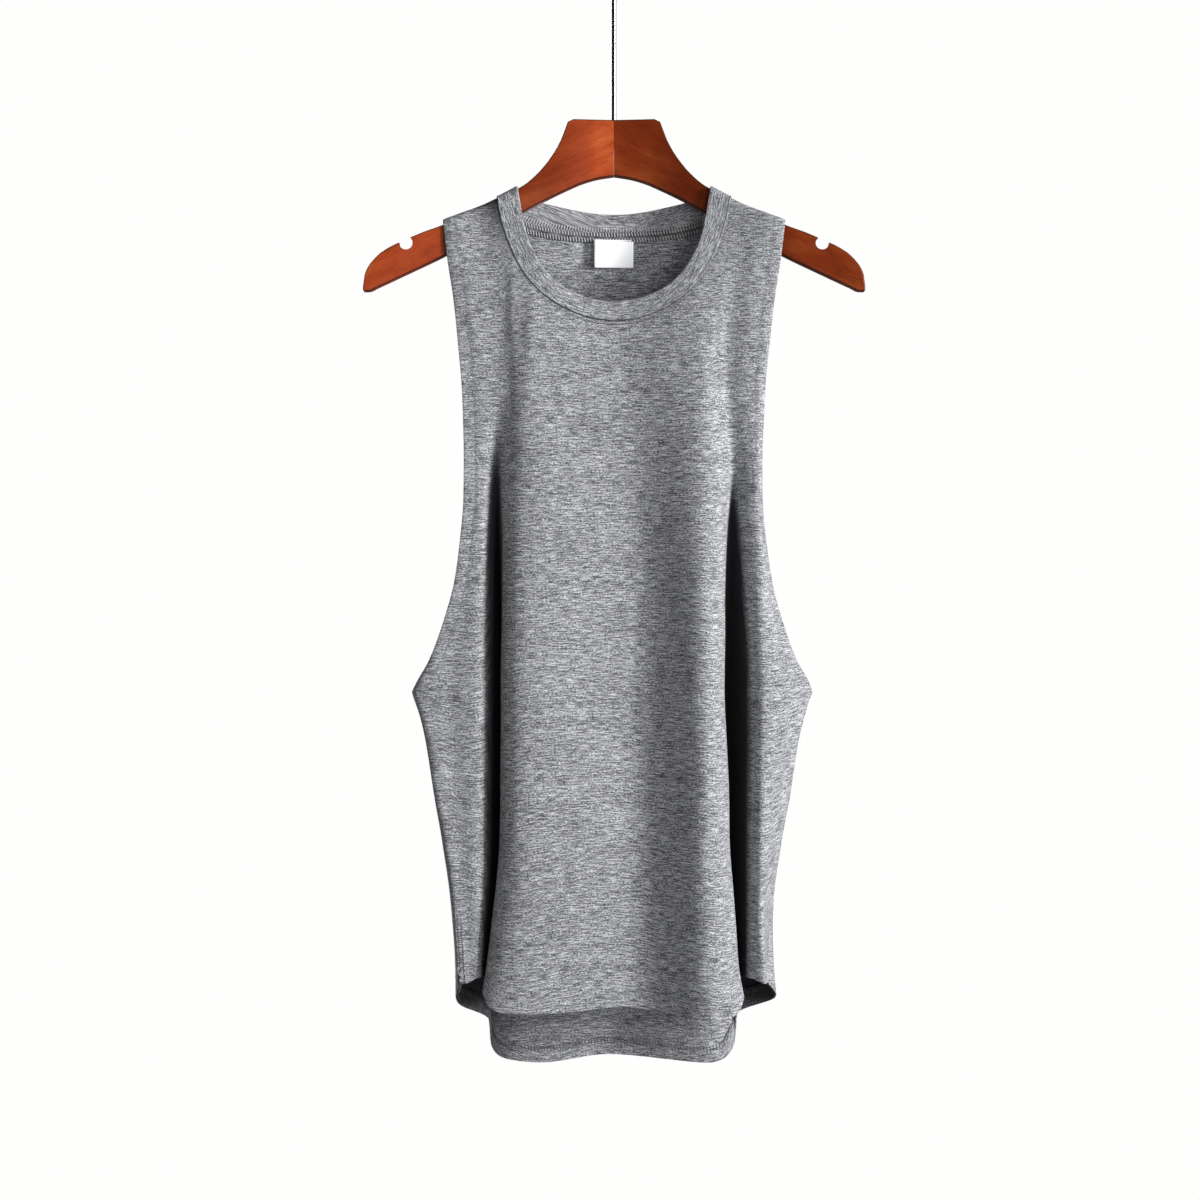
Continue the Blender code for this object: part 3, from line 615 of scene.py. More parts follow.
def relief(points, panel):
    """How far each point moves outwards, in millimetres."""
    rows, columns = points.shape[:2]
    side = line_distances(columns, SIDE_LINES, at_end=False)[None, :]
    hem = line_distances(rows, HEM_LINES, at_end=True)[:, None]
    armhole = 1 - ease((-points[:, :1, 2] - UNDERARM_DROP) / 8 + 1)
    stitch, hem_stitch = SIDE_LINES[SIDE_STITCH], HEM_LINES[HEM_STITCH]
    # the stitches pull the cloth in, and the allowance beside them lifts it
    raised = -STITCH_DIP * armhole * groove(side, stitch, 0.8) - HEM_DIP * groove(hem, hem_stitch, 0.9)
    raised = raised + ALLOWANCE_LIFT * (armhole * (side < stitch - 1) + (hem < hem_stitch - 1))
    # the edges pucker between the stitches
    x, z = points[..., 0], points[..., 2]
    pucker = np.sin(z / 1.9) + 0.7 * np.sin(z / 3.1 + 1)
    raised = raised + ARMHOLE_PUCKER * armhole * pucker * groove(side, 5, 6)
    pucker = np.sin(x / 2.3 + 2) + 0.8 * np.sin(x / 3.7)
    raised = raised + HEM_PUCKER * pucker * groove(hem, 7, 8)
    # the neck seam and its topstitching sink in
    top = walk(points.transpose(1, 0, 2)).T
    neck = ease((NECK_HALF - np.abs(points[:1, :, 0])) / 3)
    for at, width, deep in NECK_GROOVES:
        raised = raised - deep * neck * groove(top, at, width)
    # low soft waves at three sizes
    waves = (
        0.55 * np.sin(x / 23 + 1.3 * np.sin(z / 61)) * np.sin(z / 83 + 0.8)
        + 0.35 * np.sin(x / 13 + z / 47 + panel.way) * np.sin(z / 37 + x / 59)
        + 0.22 * np.sin(x / 9 - z / 29 + 2) * np.sin(z / 21 + 1)
    )
    raised = raised + waves * ease((top - WAVES_FROM) / WAVES_GROW)
    return raised + creases(x, -z) if panel is front else raised


normals = {panel: facing(base[panel], panel.way) for _, panel in PANELS}
for _, panel in PANELS:
    base[panel] = base[panel] - normals[panel] * relief(base[panel], panel)[..., None]
    normals[panel] = facing(base[panel], panel.way)
print("moved points outwards by up to", round(float(relief(base[front], front).max()), 2), "mm")

# %% Fold the edges over
PLEAT_LIPS = (-28, -21)     # depth of the lips of the left and the right pleat, where the shade starts
PLEAT_SIDES = (86, 126)     # the front's pleats lie between these distances from the middle
SEAM_GROOVE = 4.4           # the side seam's groove shows this far in from the front's edge, near the hem
SEAM_SHOWS, SEAM_GROWS = 840, 60
WING_FROM, WING_TOP, WING_PALE = 104, 900, 946   # the back's wings: how far out, and from which heights


def turned_edge(last):
    """Lines of the extended grid at an edge: up the allowance's inside, round the fold, onto the panel."""
    index = np.concatenate((np.arange(last, 0, -1), [0, 1]))
    share = np.array([1.0] * (last - 1) + [TURN_IN, 0.5, TURN_OUT])
    return index, share


def allowances(panel):
    """Which lines the extended grid takes from the panel's own, and how far each point lies inside them."""
    rows, columns = base[panel].shape[:2]
    index, share = turned_edge(SIDE_TURNED)
    column = np.concatenate((index, np.arange(2, columns - 2), columns - 1 - index[::-1]))
    over = np.concatenate((share, np.zeros(columns - 4), share[::-1]))[None, :]
    index, share = turned_edge(HEM_TURNED)
    row = np.concatenate((np.arange(rows - 2), rows - 1 - index[::-1]))
    up = np.concatenate((np.zeros(rows - 2), share[::-1]))[:, None]
    side = line_distances(columns, SIDE_LINES, at_end=False)[column][None, :]
    over_side = 1 - ease((side - SIDE_LINES[SIDE_STITCH]) / 5)
    bulk = FOLD * (1 + 2 * over_side)   # the hem also turns over the side allowances
    return np.ix_(row, column), 2 * FOLD * over * (1 - 2 * up) + 2 * bulk * up


def shade_of(panel):
    """Where next to no light comes back, from 0 to 1: deep in the pleats and in the seams' grooves."""
    points = base[panel]
    aside, depth, drop = np.abs(points[..., 0]), points[..., 1], -points[..., 2]
    if panel is front:
        side = line_distances(points.shape[1], SIDE_LINES, at_end=False)[None, :]
        lip = np.where(points[..., 0] < 0, *PLEAT_LIPS)
        inner, outer = PLEAT_SIDES
        deep = ease((depth - lip) / 6) * ease((outer - aside) / 4) * ease((aside - inner) / 4)
        deep = deep + groove(side, SEAM_GROOVE, 0.5) * ease((drop - SEAM_SHOWS) / SEAM_GROWS)
        stitched = groove(side, SIDE_LINES[SIDE_STITCH], 0.7) * ease((UNDERARM_DROP - drop) / 8)
        deep = deep + 0.35 * stitched
    else:
        deep = ease((aside - WING_FROM) / 8) * ease((drop - WING_TOP) / 20)
        deep = deep * (0.95 - 0.6 * ease((drop - WING_PALE) / 18))
    top = walk(points.transpose(1, 0, 2)).T
    neck = ease((NECK_HALF - aside[:1]) / 3) * (groove(top, 0.7, 0.8) + 0.75 * groove(top, 3.9, 0.6))
    return np.clip(deep + neck, 0, 1)


folded, shaded = {}, {}
for _, panel in PANELS:
    picked, inwards = allowances(panel)
    folded[panel] = base[panel][picked] + normals[panel][picked] * inwards[..., None]
    shaded[panel] = shade_of(panel)[picked]
print("with allowances:", folded[front].shape[:2])

# %% [markdown]
# ## Making the cloth pieces
# `create_grid` makes the sheet, its vertices are laid on the points, and Solidify gives it a wall. The UV
# map is the flat cloth in metres, so that the knit and its streaks follow the fabric through every fold.

# %% Helpers for pieces
def finish_mesh(name, bm, smooth_angle=40):
    """A mesh object from a bmesh, with its points already in their places."""
    mesh = bpy.data.meshes.new(name)
    bm.to_mesh(mesh)
    bm.free()
    mesh.shade_smooth()
    mesh.set_sharp_from_angle(angle=math.radians(smooth_angle))
    made = bpy.data.objects.new(name, mesh)
    bpy.context.scene.collection.objects.link(made)
    return made


def lay_grid(points, uv, shade=0.0):
    """A grid laid on rows of points in millimetres, with a UV in metres and a depth of shade for each."""
    across, down = points.shape[1] - 1, points.shape[0] - 1
    bm = bmesh.new()
    bmesh.ops.create_grid(bm, x_segments=across, y_segments=down, size=1)
    layer = bm.loops.layers.uv.new("cloth")
    depth_of_shade = bm.verts.layers.float.new("shade")
    shade = np.broadcast_to(shade, points.shape[:2])
    place = {}
    for vert in bm.verts:
        column = round((vert.co.x + 1) / 2 * across)
        row = round((1 - vert.co.y) / 2 * down)
        place[vert] = (row, column)
        vert.co = points[row, column] * MM
        vert[depth_of_shade] = shade[row, column]
    for face in bm.faces:
        for loop in face.loops:
            loop[layer].uv = uv[place[loop.vert]]
    return bm


def flat_uv(points):
    """The cloth laid flat, in metres: across from the middle column, and down from the top."""
    across = walk(points)
    across = across - across[:, across.shape[1] // 2][:, None]
    down = walk(points.transpose(1, 0, 2)).T
    start = np.abs(-points[..., 2] - FAN_DROP).argmin(axis=0)
    down = down - down[start, np.arange(down.shape[1])][None, :] + FAN_DROP
    return np.stack((across, -down), axis=-1) * MM


def wall(made, thickness):
    """Gives an open surface its wall, half to each side."""
    solidify = made.modifiers.new("wall", "SOLIDIFY")
    solidify.thickness = thickness * MM
    solidify.offset = 0
    solidify.use_even_offset = False
    return made


def ours(made, slot, *nodes):
    """The piece moves with the part and stands for these solids; slot is not used."""
    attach(made, "root")
    if nodes:
        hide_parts(*nodes)
    print(made.name, "-", len(made.data.polygons), "faces")
    return made


# %% The front and back panels
cloth_pieces = {}
for name, panel in PANELS:
    bm = lay_grid(folded[panel], flat_uv(folded[panel]), shaded[panel])
    made = wall(finish_mesh(f"{name}_panel", bm), WALL)
    cloth_pieces[name] = ours(made, "jersey", name)

# %% [markdown]
# ## The neck band
# The band is a strip folded double along its free edge and sewn on with its raw edges inside, so its section
# is a flattened loop: rounded at the fold, nipped in at the seam. The loop is laid round the neck over both
# shoulders and closed on itself. It could be a plain strip with Solidify, but then the fold would be square.

# %% The band's section, carried round the neck
BAND_HALF = 1.05         # half the thickness of the doubled band
BAND_START = -0.035      # the band starts a little past the seam, so that its rim covers the panel's edge
BAND_LINES = np.array(   # places across one side of the band's section, close together at its rims
    (0, 0.02, 0.045, 0.07, 0.1, 0.14, 0.22, 0.36, 0.5, 0.64, 0.78, 0.88, 0.95, 0.985, 1)
)
RIDGE = 0.6              # the seam allowance under the band lifts it into a ridge beside the seam,
RIDGE_AT, RIDGE_WIDTH = 0.055, 0.03    # at this share of its width
BAND_STATIONS = 44       # places along the band for each control line that it passes


def ring_of_neck():
    """Points of the band's middle, one row for each place round the neck, from the seam to the fold."""
    lift = (RIB - CLOTH) / 2 + GAP
    w = BAND_START + (1 - BAND_START) * BAND_LINES
    ring = []
    for panel, top_rows in ((front, FRONT_NECK_TOP), (back, BACK_NECK_TOP)):
        count = BAND_STATIONS * (LINES - 2 * NECK_LINE)
        at = np.linspace(NECK_LINE, LINES - NECK_LINE, count, endpoint=False)
        if panel is back:
            at = LINES - at   # the ring comes back round from right to left
        side = np.where(at > MIDDLE_LINE, 1, -1)[:, None]
        inward = np.where(at > MIDDLE_LINE, LINES - at, at)
        seam_x, seam_drop = (c[:, None] for c in neck_point(panel.neck_seam, inward, lift))
        top_x, top_drop = (c[:, None] for c in neck_point(top_rows, inward, lift))
        x = seam_x + (top_x - seam_x) * w
        drop = seam_drop + (top_drop - seam_drop) * w
        # Close to the shoulder the band lies along the curved top of the arm.
        near = 1 - ease((inward - NECK_LINE) / TURN_SHARE)[:, None]
        end_x = np.array([panel.neck_seam["x"][0], top_rows["x"][0]])
        ends = shoulder_drop(end_x, lift)
        bow = shoulder_drop(end_x[0] + (end_x[1] - end_x[0]) * w, lift) - (ends[0] + (ends[1] - ends[0]) * w)
        placed = panel.place((side * x).ravel(), (drop + near * bow).ravel(), lift)
        ring.append(placed.reshape(count, len(w), 3))
    return np.concatenate(ring)


def band_loops(middle):
    """Closed sections round the band's middle: out along its face, round the fold and back inside."""
    closed = np.concatenate((middle[-2:], middle, middle[:2]))
    along = np.gradient(closed, axis=0)[2:-2]
    across = np.gradient(middle, axis=1)
    normal = np.cross(across, along)
    normal /= np.linalg.norm(normal, axis=2, keepdims=True)
    w = BAND_LINES
    # flat sides between round rims, and a little thinner towards the seam
    half = BAND_HALF * np.sqrt(np.clip(1 - np.abs(2 * w - 1) ** 16, 0, 1))
    half = (half * (0.82 + 0.18 * ease(w / 0.4)))[None, :, None]
    outside = middle - normal * (half + RIDGE * groove(w, RIDGE_AT, RIDGE_WIDTH)[None, :, None])
    inside = middle + normal * half
    return np.concatenate((outside, inside[:, -2:0:-1]), axis=1), normal


band_middle = ring_of_neck()
band_points, band_normal = band_loops(band_middle)
closed = np.concatenate((band_points, band_points[:, :1]), axis=1)
closed = np.concatenate((closed, closed[:1]))
band_uv = np.stack((walk(closed.transpose(1, 0, 2)).T, walk(closed)), axis=-1) * MM
seam_shade = groove(BAND_LINES, 0, 0.022)
bm = lay_grid(closed, band_uv, np.concatenate((seam_shade, seam_shade[::-1]))[None, : closed.shape[1]])
bmesh.ops.remove_doubles(bm, verts=bm.verts, dist=0.001 * MM)
bmesh.ops.recalc_face_normals(bm, faces=bm.faces)
neck_band = ours(finish_mesh("neck_rib", bm, smooth_angle=80), "rib", "neck_band")
BAND_LENGTH = float(walk(band_middle[:, :1].transpose(1, 0, 2))[0, -1])
print("the band is", round(BAND_LENGTH), "mm round its seam")

# %% [markdown]
# ## The overlocked neck seam
# Inside the neck the raw edges of band and body are bound together by an overlock stitch, which shows behind
# the label as two rows of upright loops. The bound edge is a narrow tape lying on the inside of the cloth,
# and each loop of thread is a small curved piece of its own, copied along it.

# %% Lines on a panel that follow its neck
TAPE_DEPTHS = (0.3, 1.2, 3.2, 5.2, 8.0, 9.6)     # distances below the seam
TAPE_LIFTS = (0.9, 0.8, 0.7, 0.7, 0.7, 0.45)     # how far the tape lies off the cloth at each of them
TAPE_WALL = 0.8
TAPE_SHADE = 0.6     # little light reaches the tape between its threads
NECK_SHORT = 1.5     # lines along the neck stop this far short of its shoulder ends


def neck_columns(panel, depths):
    """Points and inward normals at set distances below the neck seam, for the columns that meet it."""
    points, normal = base[panel], normals[panel]
    meets = np.abs(points[0, :, 0]) < NECK_HALF - NECK_SHORT
    columns = points[:, meets].transpose(1, 0, 2)
    facing_in = normal[:, meets].transpose(1, 0, 2)
    numbers = np.arange(columns.shape[1])
    slant = slanting(columns)
    at = np.array([
        np.interp(np.array(depths) * s, row, numbers) for row, s in zip(walk(columns), slant)
    ])
    picked = read_rows(facing_in, at)
    return read_rows(columns, at), picked / np.linalg.norm(picked, axis=2, keepdims=True)


def neck_tape(panel, name):
    points, inward = neck_columns(panel, TAPE_DEPTHS)
    off = WALL / 2 + np.array(TAPE_LIFTS)
    points = points + inward * off[None, :, None]
    points = points.transpose(1, 0, 2)
    bm = lay_grid(points, flat_uv(points), TAPE_SHADE)
    return ours(wall(finish_mesh(name, bm), TAPE_WALL), "jersey")


tapes = [neck_tape(panel, f"{name}_neck_tape") for name, panel in PANELS]

# %% [markdown]
# ## Stitches
# At arm's length a row of stitches reads as a dotted line with a small shadow at each dip. A texture can
# fake it from the front only, so every stitch is a short arched thread: a five-sided cylinder, cut across
# three times and bent, copied with a turn of its own to each place on the line. It has 22 faces, so that
# thousands of them stay light.

# %% One stitch, and rows of it
THREAD = 0.26         # radius of the thread
STITCH_PITCH = 2.6
STITCH_SHARE = 0.8    # how much of the pitch the thread covers
END_THINNER = 0.35    # a stitch is thinner at its ends by this share
END_DIP = 1.6         # and dips there by so many radii


def one_stitch():
    """A thread of unit length along X with both ends dipping, as a template to copy."""
    bm = bmesh.new()
    bmesh.ops.create_cone(bm, cap_ends=True, segments=5, radius1=1, radius2=1, depth=1)
    bmesh.ops.rotate(bm, verts=bm.verts, matrix=Matrix.Rotation(math.pi / 2, 3, "Y"))
    for cut in (-0.3, 0.0, 0.3):
        bmesh.ops.bisect_plane(bm, geom=bm.verts[:] + bm.edges[:] + bm.faces[:],
                               plane_co=(cut, 0, 0), plane_no=(1, 0, 0))
    for vert in bm.verts:
        end = (2 * abs(vert.co.x)) ** 4
        vert.co.y *= 1 - END_THINNER * end
        vert.co.z = vert.co.z * (1 - END_THINNER * end) - END_DIP * end
    return bm


def sew(name, lines, radius=THREAD):
    """Lines of stitches: each line is a list of (start, end, outward direction) in millimetres."""
    template = one_stitch()
    sewn = bmesh.new()
    scratch = bpy.data.meshes.new("scratch")
    for start, end, outward in lines:
        along = end - start
        length = np.linalg.norm(along)
        along = along / length
        aside = np.cross(outward, along)
        aside /= np.linalg.norm(aside)
        up = np.cross(along, aside)
        centre = (start + end) / 2
        place = Matrix.Identity(4)
        for column, (axis, scale) in enumerate(((along, length), (aside, radius), (up, radius))):
            for row in range(3):
                place[row][column] = axis[row] * scale * MM
        for row in range(3):
            place[row][3] = centre[row] * MM
        stitch = template.copy()
        stitch.transform(place)
        stitch.to_mesh(scratch)
        stitch.free()
        sewn.from_mesh(scratch)
    template.free()
    bpy.data.meshes.remove(scratch)
    return ours(finish_mesh(name, sewn), "jersey")


def spaced(points, directions, pitch=STITCH_PITCH, share=STITCH_SHARE, lift=WALL / 2 + 0.05):
    """Stitches end to end along a line of points, lifted off the middle of the cloth."""
    length = walk(points[None])[0]
    count = int(length[-1] / pitch)
    starts = (np.arange(count) + (1 - share) / 2) * pitch
    lifted = points + directions * lift

    def at(where):
        return np.stack([np.interp(where, length, lifted[:, k]) for k in range(3)], axis=-1)

    outward = np.stack([np.interp(starts, length, directions[:, k]) for k in range(3)], axis=-1)
    return list(zip(at(starts), at(starts + share * pitch), outward))


# %% Topstitching round the armholes, the neck and the hems
ARMHOLE_STOP = 7             # the armholes' stitches stop this far above the underarm
HEM_SPAN = slice(3, -3)      # hem stitches leave out the columns nearest the side seams
NECK_STITCH = 3.6            # how far below the neck seam its topstitching lies


def armhole_lines(panel):
    points, outward = base[panel], -normals[panel]
    above = -points[:, 0, 2] < UNDERARM_DROP - ARMHOLE_STOP
    lines = []
    for column in (SIDE_STITCH, -1 - SIDE_STITCH):
        lines += spaced(points[above][:, column], outward[above][:, column])
    return lines


def hem_lines(panel, rows=(HEM_STITCH, HEM_STITCH + 2)):
    points, outward = base[panel], -normals[panel]
    lines = []
    for row in rows:
        lines += spaced(points[-1 - row, HEM_SPAN], outward[-1 - row, HEM_SPAN])
    return lines


def neck_line(panel):
    points, inward = neck_columns(panel, (NECK_STITCH,))
    return spaced(points[:, 0], -inward[:, 0])


stitches = {
    name: [
        sew(f"{name}_armhole_stitches", armhole_lines(panel)),
        sew(f"{name}_hem_stitches", hem_lines(panel)),
        sew(f"{name}_neck_stitches", neck_line(panel)),
    ]
    for name, panel in PANELS
}
for name, group in stitches.items():
    print("faces of stitches on the", name, "panel:", sum(len(piece.data.polygons) for piece in group))


# %% Overlock loops on the neck tape, the band and the hems
LOOP_PITCH, LOOP_THREAD = 2.6, 0.45            # round the neck: spacing, and radius of the thread
HEM_LOOP_PITCH, HEM_LOOP_THREAD = 3.0, 0.38
LOOP_SPANS = ((0.2, 4.6), (5.0, 9.4))          # the two rows of loops cross the tape between these depths
TAPE_LOOP_LIFT = WALL / 2 + 1.4                # how far loops lie off the middle of the tape's cloth,
BAND_LOOP_LIFT = 1.45                          # of the band
HEM_LOOP_LIFT = WALL / 2 + 2 * FOLD + 0.35     # and of a hem
BAND_REACH = 1.25                              # loops reach past the band's seventh line by this factor


def crossing(lines, slips, length, places):
    """Threads over a seam: its (start, end, outward) lines at places along it, each slipped on a little."""
    return [
        tuple(
            np.array([np.interp(where + slip, length, line[:, axis]) for axis in range(3)])
            for line, slip in zip(lines, slips)
        )
        for where in places
    ]


def loops_on_tape(panel):
    """Upright threads across the tape, one group for each span of depths below the seam."""
    points, inward = neck_columns(panel, [depth for span in LOOP_SPANS for depth in span])
    lines = []
    for k in range(0, 2 * len(LOOP_SPANS), 2):
        length = walk(points[None, :, k])[0]
        places = np.arange(LOOP_PITCH, length[-1], LOOP_PITCH)
        found = crossing((points[:, k], points[:, k + 1], inward[:, k]), (0.0, 1.0, 0.0), length, places)
        for start, end, out in found:
            lines.append((start + out * TAPE_LOOP_LIFT, end + out * TAPE_LOOP_LIFT, out))
    return lines


def loops_on_band():
    """The same threads where they reach over the seam onto the inside of the band, behind the neck."""
    behind = slice(len(band_middle) // 2, None)
    seam, up = (band_middle[behind, k] + band_normal[behind, k] * BAND_LOOP_LIFT for k in (1, 6))
    up = seam + (up - seam) * BAND_REACH
    length = walk(seam[None])[0]
    places = np.arange(LOOP_PITCH / 2, length[-1], LOOP_PITCH)
    return crossing((up, seam, band_normal[behind, 3]), (0.8, 0.0, 0.0), length, places)


def loops_at_hem(panel):
    """Upright threads on the inside of a hem, where the looper of the coverstitch machine runs."""
    points, inward = (grid[panel][:, HEM_SPAN] for grid in (base, normals))
    top, bottom = (
        points[-1 - row] + inward[-1 - row] * HEM_LOOP_LIFT for row in (HEM_TURNED, HEM_STITCH - 2)
    )
    length = walk(top[None])[0]
    places = np.arange(HEM_LOOP_PITCH, length[-1] - HEM_LOOP_PITCH, HEM_LOOP_PITCH)
    return crossing((top, bottom, inward[-1 - HEM_STITCH]), (0.0, 0.8, 0.0), length, places)


loops = [
    sew("front_neck_loops", loops_on_tape(front), LOOP_THREAD),
    sew("back_neck_loops", loops_on_tape(back) + loops_on_band(), LOOP_THREAD),
]
hem_loops = [sew(f"{name}_hem_loops", loops_at_hem(panel), HEM_LOOP_THREAD) for name, panel in PANELS]

# %% [markdown]
# ## The label
# A small piece of white satin hangs from the neck seam by its top edge. It is left bare here, because a
# reusable part carries no name. Its left side and its lower edge stand off the cloth a little and its
# corners curl, so that it throws the thin shadow that shows it is a separate piece.

# %% Make the label
LABEL_WALL = 0.35
LABEL_GRID = (21, 17)                               # points across and down
LABEL_THREAD = 0.2
LABEL_PITCH, LABEL_SHARE, LABEL_LIFT = 1.8, 0.75, 0.2   # its stitches are finer than the panels'


def label_points():
    width, height = LABEL_SIZE
    across, down = LABEL_GRID
    u, v = np.meshgrid(np.linspace(-0.5, 0.5, across), np.linspace(0, 1, down))
    points = np.array([
        back.place(width * row_u, LABEL_DROP + height * row_v) for row_u, row_v in zip(u, v)
    ])
    # forward off the back: more on the left, and curled at the lower edge and its corners
    points[..., 1] -= 3.2 - 4.2 * u + 0.9 * v ** 1.5 + 0.3 * (2 * u) ** 4 * v ** 2
    return points, np.stack((u * width, -v * height), axis=-1) * MM


label_at, label_uv = label_points()
label_bare = finish_mesh("neck_label", lay_grid(label_at, label_uv))
neck_label = ours(wall(label_bare, LABEL_WALL), "label", "label")
outwards = np.tile([0.0, -1.0, 0.0], (label_at.shape[1], 1))
label_line = spaced(label_at[1] + [0, 0, 0.2], outwards, LABEL_PITCH, LABEL_SHARE, LABEL_LIFT)
label_stitches = sew("label_stitches", label_line, LABEL_THREAD)

# %% [markdown]
# ## The wooden hanger
# Each half of the hanger is sawn from a board, mitred at the middle, rounded over with a cutter and
# notched for straps. So it is made the same way: the outline as a strip of faces, drawn out to the
# thickness of the board, its rims bevelled, and the notch and the hook's bore cut with cylinders.

# %% The two halves
def cutter(name, radius, length, place, axis):
    bm = bmesh.new()
    bmesh.ops.create_cone(bm, cap_ends=True, segments=48, radius1=radius * MM, radius2=radius * MM,
                          depth=length * MM)
    if axis == "Y":
        bmesh.ops.rotate(bm, verts=bm.verts, matrix=Matrix.Rotation(math.pi / 2, 3, "X"))
    bmesh.ops.translate(bm, verts=bm.verts, vec=[c * MM for c in place])
    return finish_mesh(name, bm)


def cut(made, cutters):
    """Applies a boolean cut for each cutter, then takes the cutters away."""
    for tool in cutters:
        step = made.modifiers.new("cut", "BOOLEAN")
        step.object = tool
        step.operation = "DIFFERENCE"
    bpy.context.view_layer.update()
    seen = made.evaluated_get(bpy.context.evaluated_depsgraph_get())
    made.data = bpy.data.meshes.new_from_object(seen)
    made.modifiers.clear()
    for tool in cutters:
        bpy.data.objects.remove(tool, do_unlink=True)
    made.data.set_sharp_from_angle(angle=math.radians(35))
    return made


def hanger_half(name, side):
    # places across; they lie closest at the tip, where the outline turns most
    xs = np.concatenate((
        np.linspace(GAP / 4, BLOCK_HALF, 8, endpoint=False),
        np.linspace(BLOCK_HALF, 120, 26, endpoint=False),
        np.linspace(120, 205, 16, endpoint=False),
        np.linspace(205, ARM_HALF, 12),
    ))
    top = smooth(ARM_TOP["x"], ARM_TOP["drop"], xs)
    bottom = smooth(ARM_BOTTOM["x"], ARM_BOTTOM["drop"], xs)
    face = arm_depth(xs) - ARM_THICK / 2
    points = np.array([np.column_stack((side * xs, face, -d)) for d in (top, bottom)])
    points = points if side > 0 else points[:, ::-1]
    bm = lay_grid(points, np.zeros(points.shape[:2] + (2,)))
    drawn = bmesh.ops.extrude_face_region(bm, geom=bm.faces[:])
    moved = [g for g in drawn["geom"] if isinstance(g, bmesh.types.BMVert)]
    bmesh.ops.translate(bm, verts=moved, vec=(0, ARM_THICK * MM, 0))
    bmesh.ops.recalc_face_normals(bm, faces=bm.faces)
    mitre = GAP * MM   # the face where the halves meet stays sharp
    rims = [
        edge for edge in bm.edges
        if edge.calc_face_angle(0) > math.radians(50) and max(abs(v.co.x) for v in edge.verts) > mitre
    ]
    bmesh.ops.bevel(bm, geom=rims, offset=WOOD_BEVEL * MM, segments=6, affect="EDGES", profile=0.5,
                    material=-1, clamp_overlap=True)
    x, drop = NOTCH_AT
    tools = [
        cutter("notch", NOTCH_RADIUS, 4 * ARM_THICK, (side * x, float(arm_depth(x)), -drop), "Y"),
        cutter("bore", WIRE_RADIUS + 0.1, 2 * BORE_DEPTH, (0, 0, -ARM_TOP["drop"][0]), "Z"),
    ]
    return ours(cut(finish_mesh(name, bm), tools), "hanger_wood", name.replace("wood", "hanger"))


wood_pieces = [hanger_half("wood_left", -1), hanger_half("wood_right", 1)]

# %% [markdown]
# ## The hook
# The hook is one length of polished wire: straight up out of the wood, one bend to the side, then round
# over the rail. A circle of vertices is extruded for the shaft and spun twice for the bends, which is how
# the wire itself is bent round a peg. The end is closed with a small dome.

# %% Bend the wire
def bend(bm, ring, centre, axis, angle, steps):
    """Spins a ring of edges and returns the ring at the far end."""
    spun = bmesh.ops.spin(bm, geom=ring, cent=[c * MM for c in centre], axis=axis, angle=angle,
                          steps=steps, use_duplicate=False)
    return [g for g in spun["geom_last"] if isinstance(g, bmesh.types.BMEdge)]


def drawn_out(bm, ring):
    """Extrudes a ring of edges where it lies, and returns its new points and edges."""
    drawn = bmesh.ops.extrude_edge_only(bm, edges=ring)["geom"]
    points = [g for g in drawn if isinstance(g, bmesh.types.BMVert)]
    edges = [g for g in drawn if isinstance(g, bmesh.types.BMEdge) and all(v in points for v in g.verts)]
    return points, edges


def wire():
    hook_centre = -(HOOK_RADIUS - WIRE_RADIUS)
    bend_radius = HOOK_RADIUS * math.cos(HOOK_BEND) / (1 - math.cos(HOOK_BEND))
    bend_height = hook_centre - (HOOK_RADIUS + bend_radius) * math.sin(HOOK_BEND)
    foot = -(ARM_TOP["drop"][0] + BORE_DEPTH - 2 * GAP)
    bm = bmesh.new()
    bmesh.ops.create_circle(bm, cap_ends=True, segments=24, radius=WIRE_RADIUS * MM)
    bmesh.ops.translate(bm, verts=bm.verts, vec=(0, 0, foot * MM))
    ring = bm.edges[:]
    for rise in np.diff(np.linspace(foot, bend_height, 9)):
        points, ring = drawn_out(bm, ring)
        bmesh.ops.translate(bm, verts=points, vec=(0, 0, rise * MM))
    ring = bend(bm, ring, (bend_radius, 0, bend_height), (0, 1, 0), HOOK_BEND, 12)
    ring = bend(bm, ring, (0, 0, hook_centre), (0, -1, 0), HOOK_BEND + HOOK_END, 56)
    along = Vector((-math.sin(HOOK_END), 0, math.cos(HOOK_END)))
    for k in range(1, 5):   # the dome: rings that close in as they go on along the wire
        turn = k * math.pi / 10
        before = (k - 1) * math.pi / 10
        points, ring = drawn_out(bm, ring)
        step = along * WIRE_RADIUS * MM * (math.sin(turn) - math.sin(before))
        centre = sum((v.co for v in points), Vector()) / len(points)
        for vert in points:
            vert.co = centre + (vert.co - centre) * math.cos(turn) / math.cos(before) + step
    bmesh.ops.contextual_create(bm, geom=ring)
    bmesh.ops.recalc_face_normals(bm, faces=bm.faces)
    return bm


hook = ours(finish_mesh("wire_hook", wire(), smooth_angle=50), "hook_wire", "hook")

# %% [markdown]
# ## Materials
# Every finish is worked out by nodes from what the piece itself carries: its UV map, its Object coordinates,
# the way each face looks, and the shade written at its points. So nothing slides when the camera moves. The
# parts that several finishes share - the streaks of mixed fibres and the loops of the knit - are node groups
# with named inputs. The shader itself stays in each material.

# %% Helpers for nodes
def add(tree, kind, inputs=(), **settings):
    """A node with its settings and inputs; an input is a value or another node's socket."""
    made = tree.nodes.new(kind)
    for key, value in settings.items():
        setattr(made, key, value)
    for key, value in dict(inputs).items():
        if isinstance(value, bpy.types.NodeSocket):
            tree.links.new(value, made.inputs[key])
        else:
            made.inputs[key].default_value = value
    return made


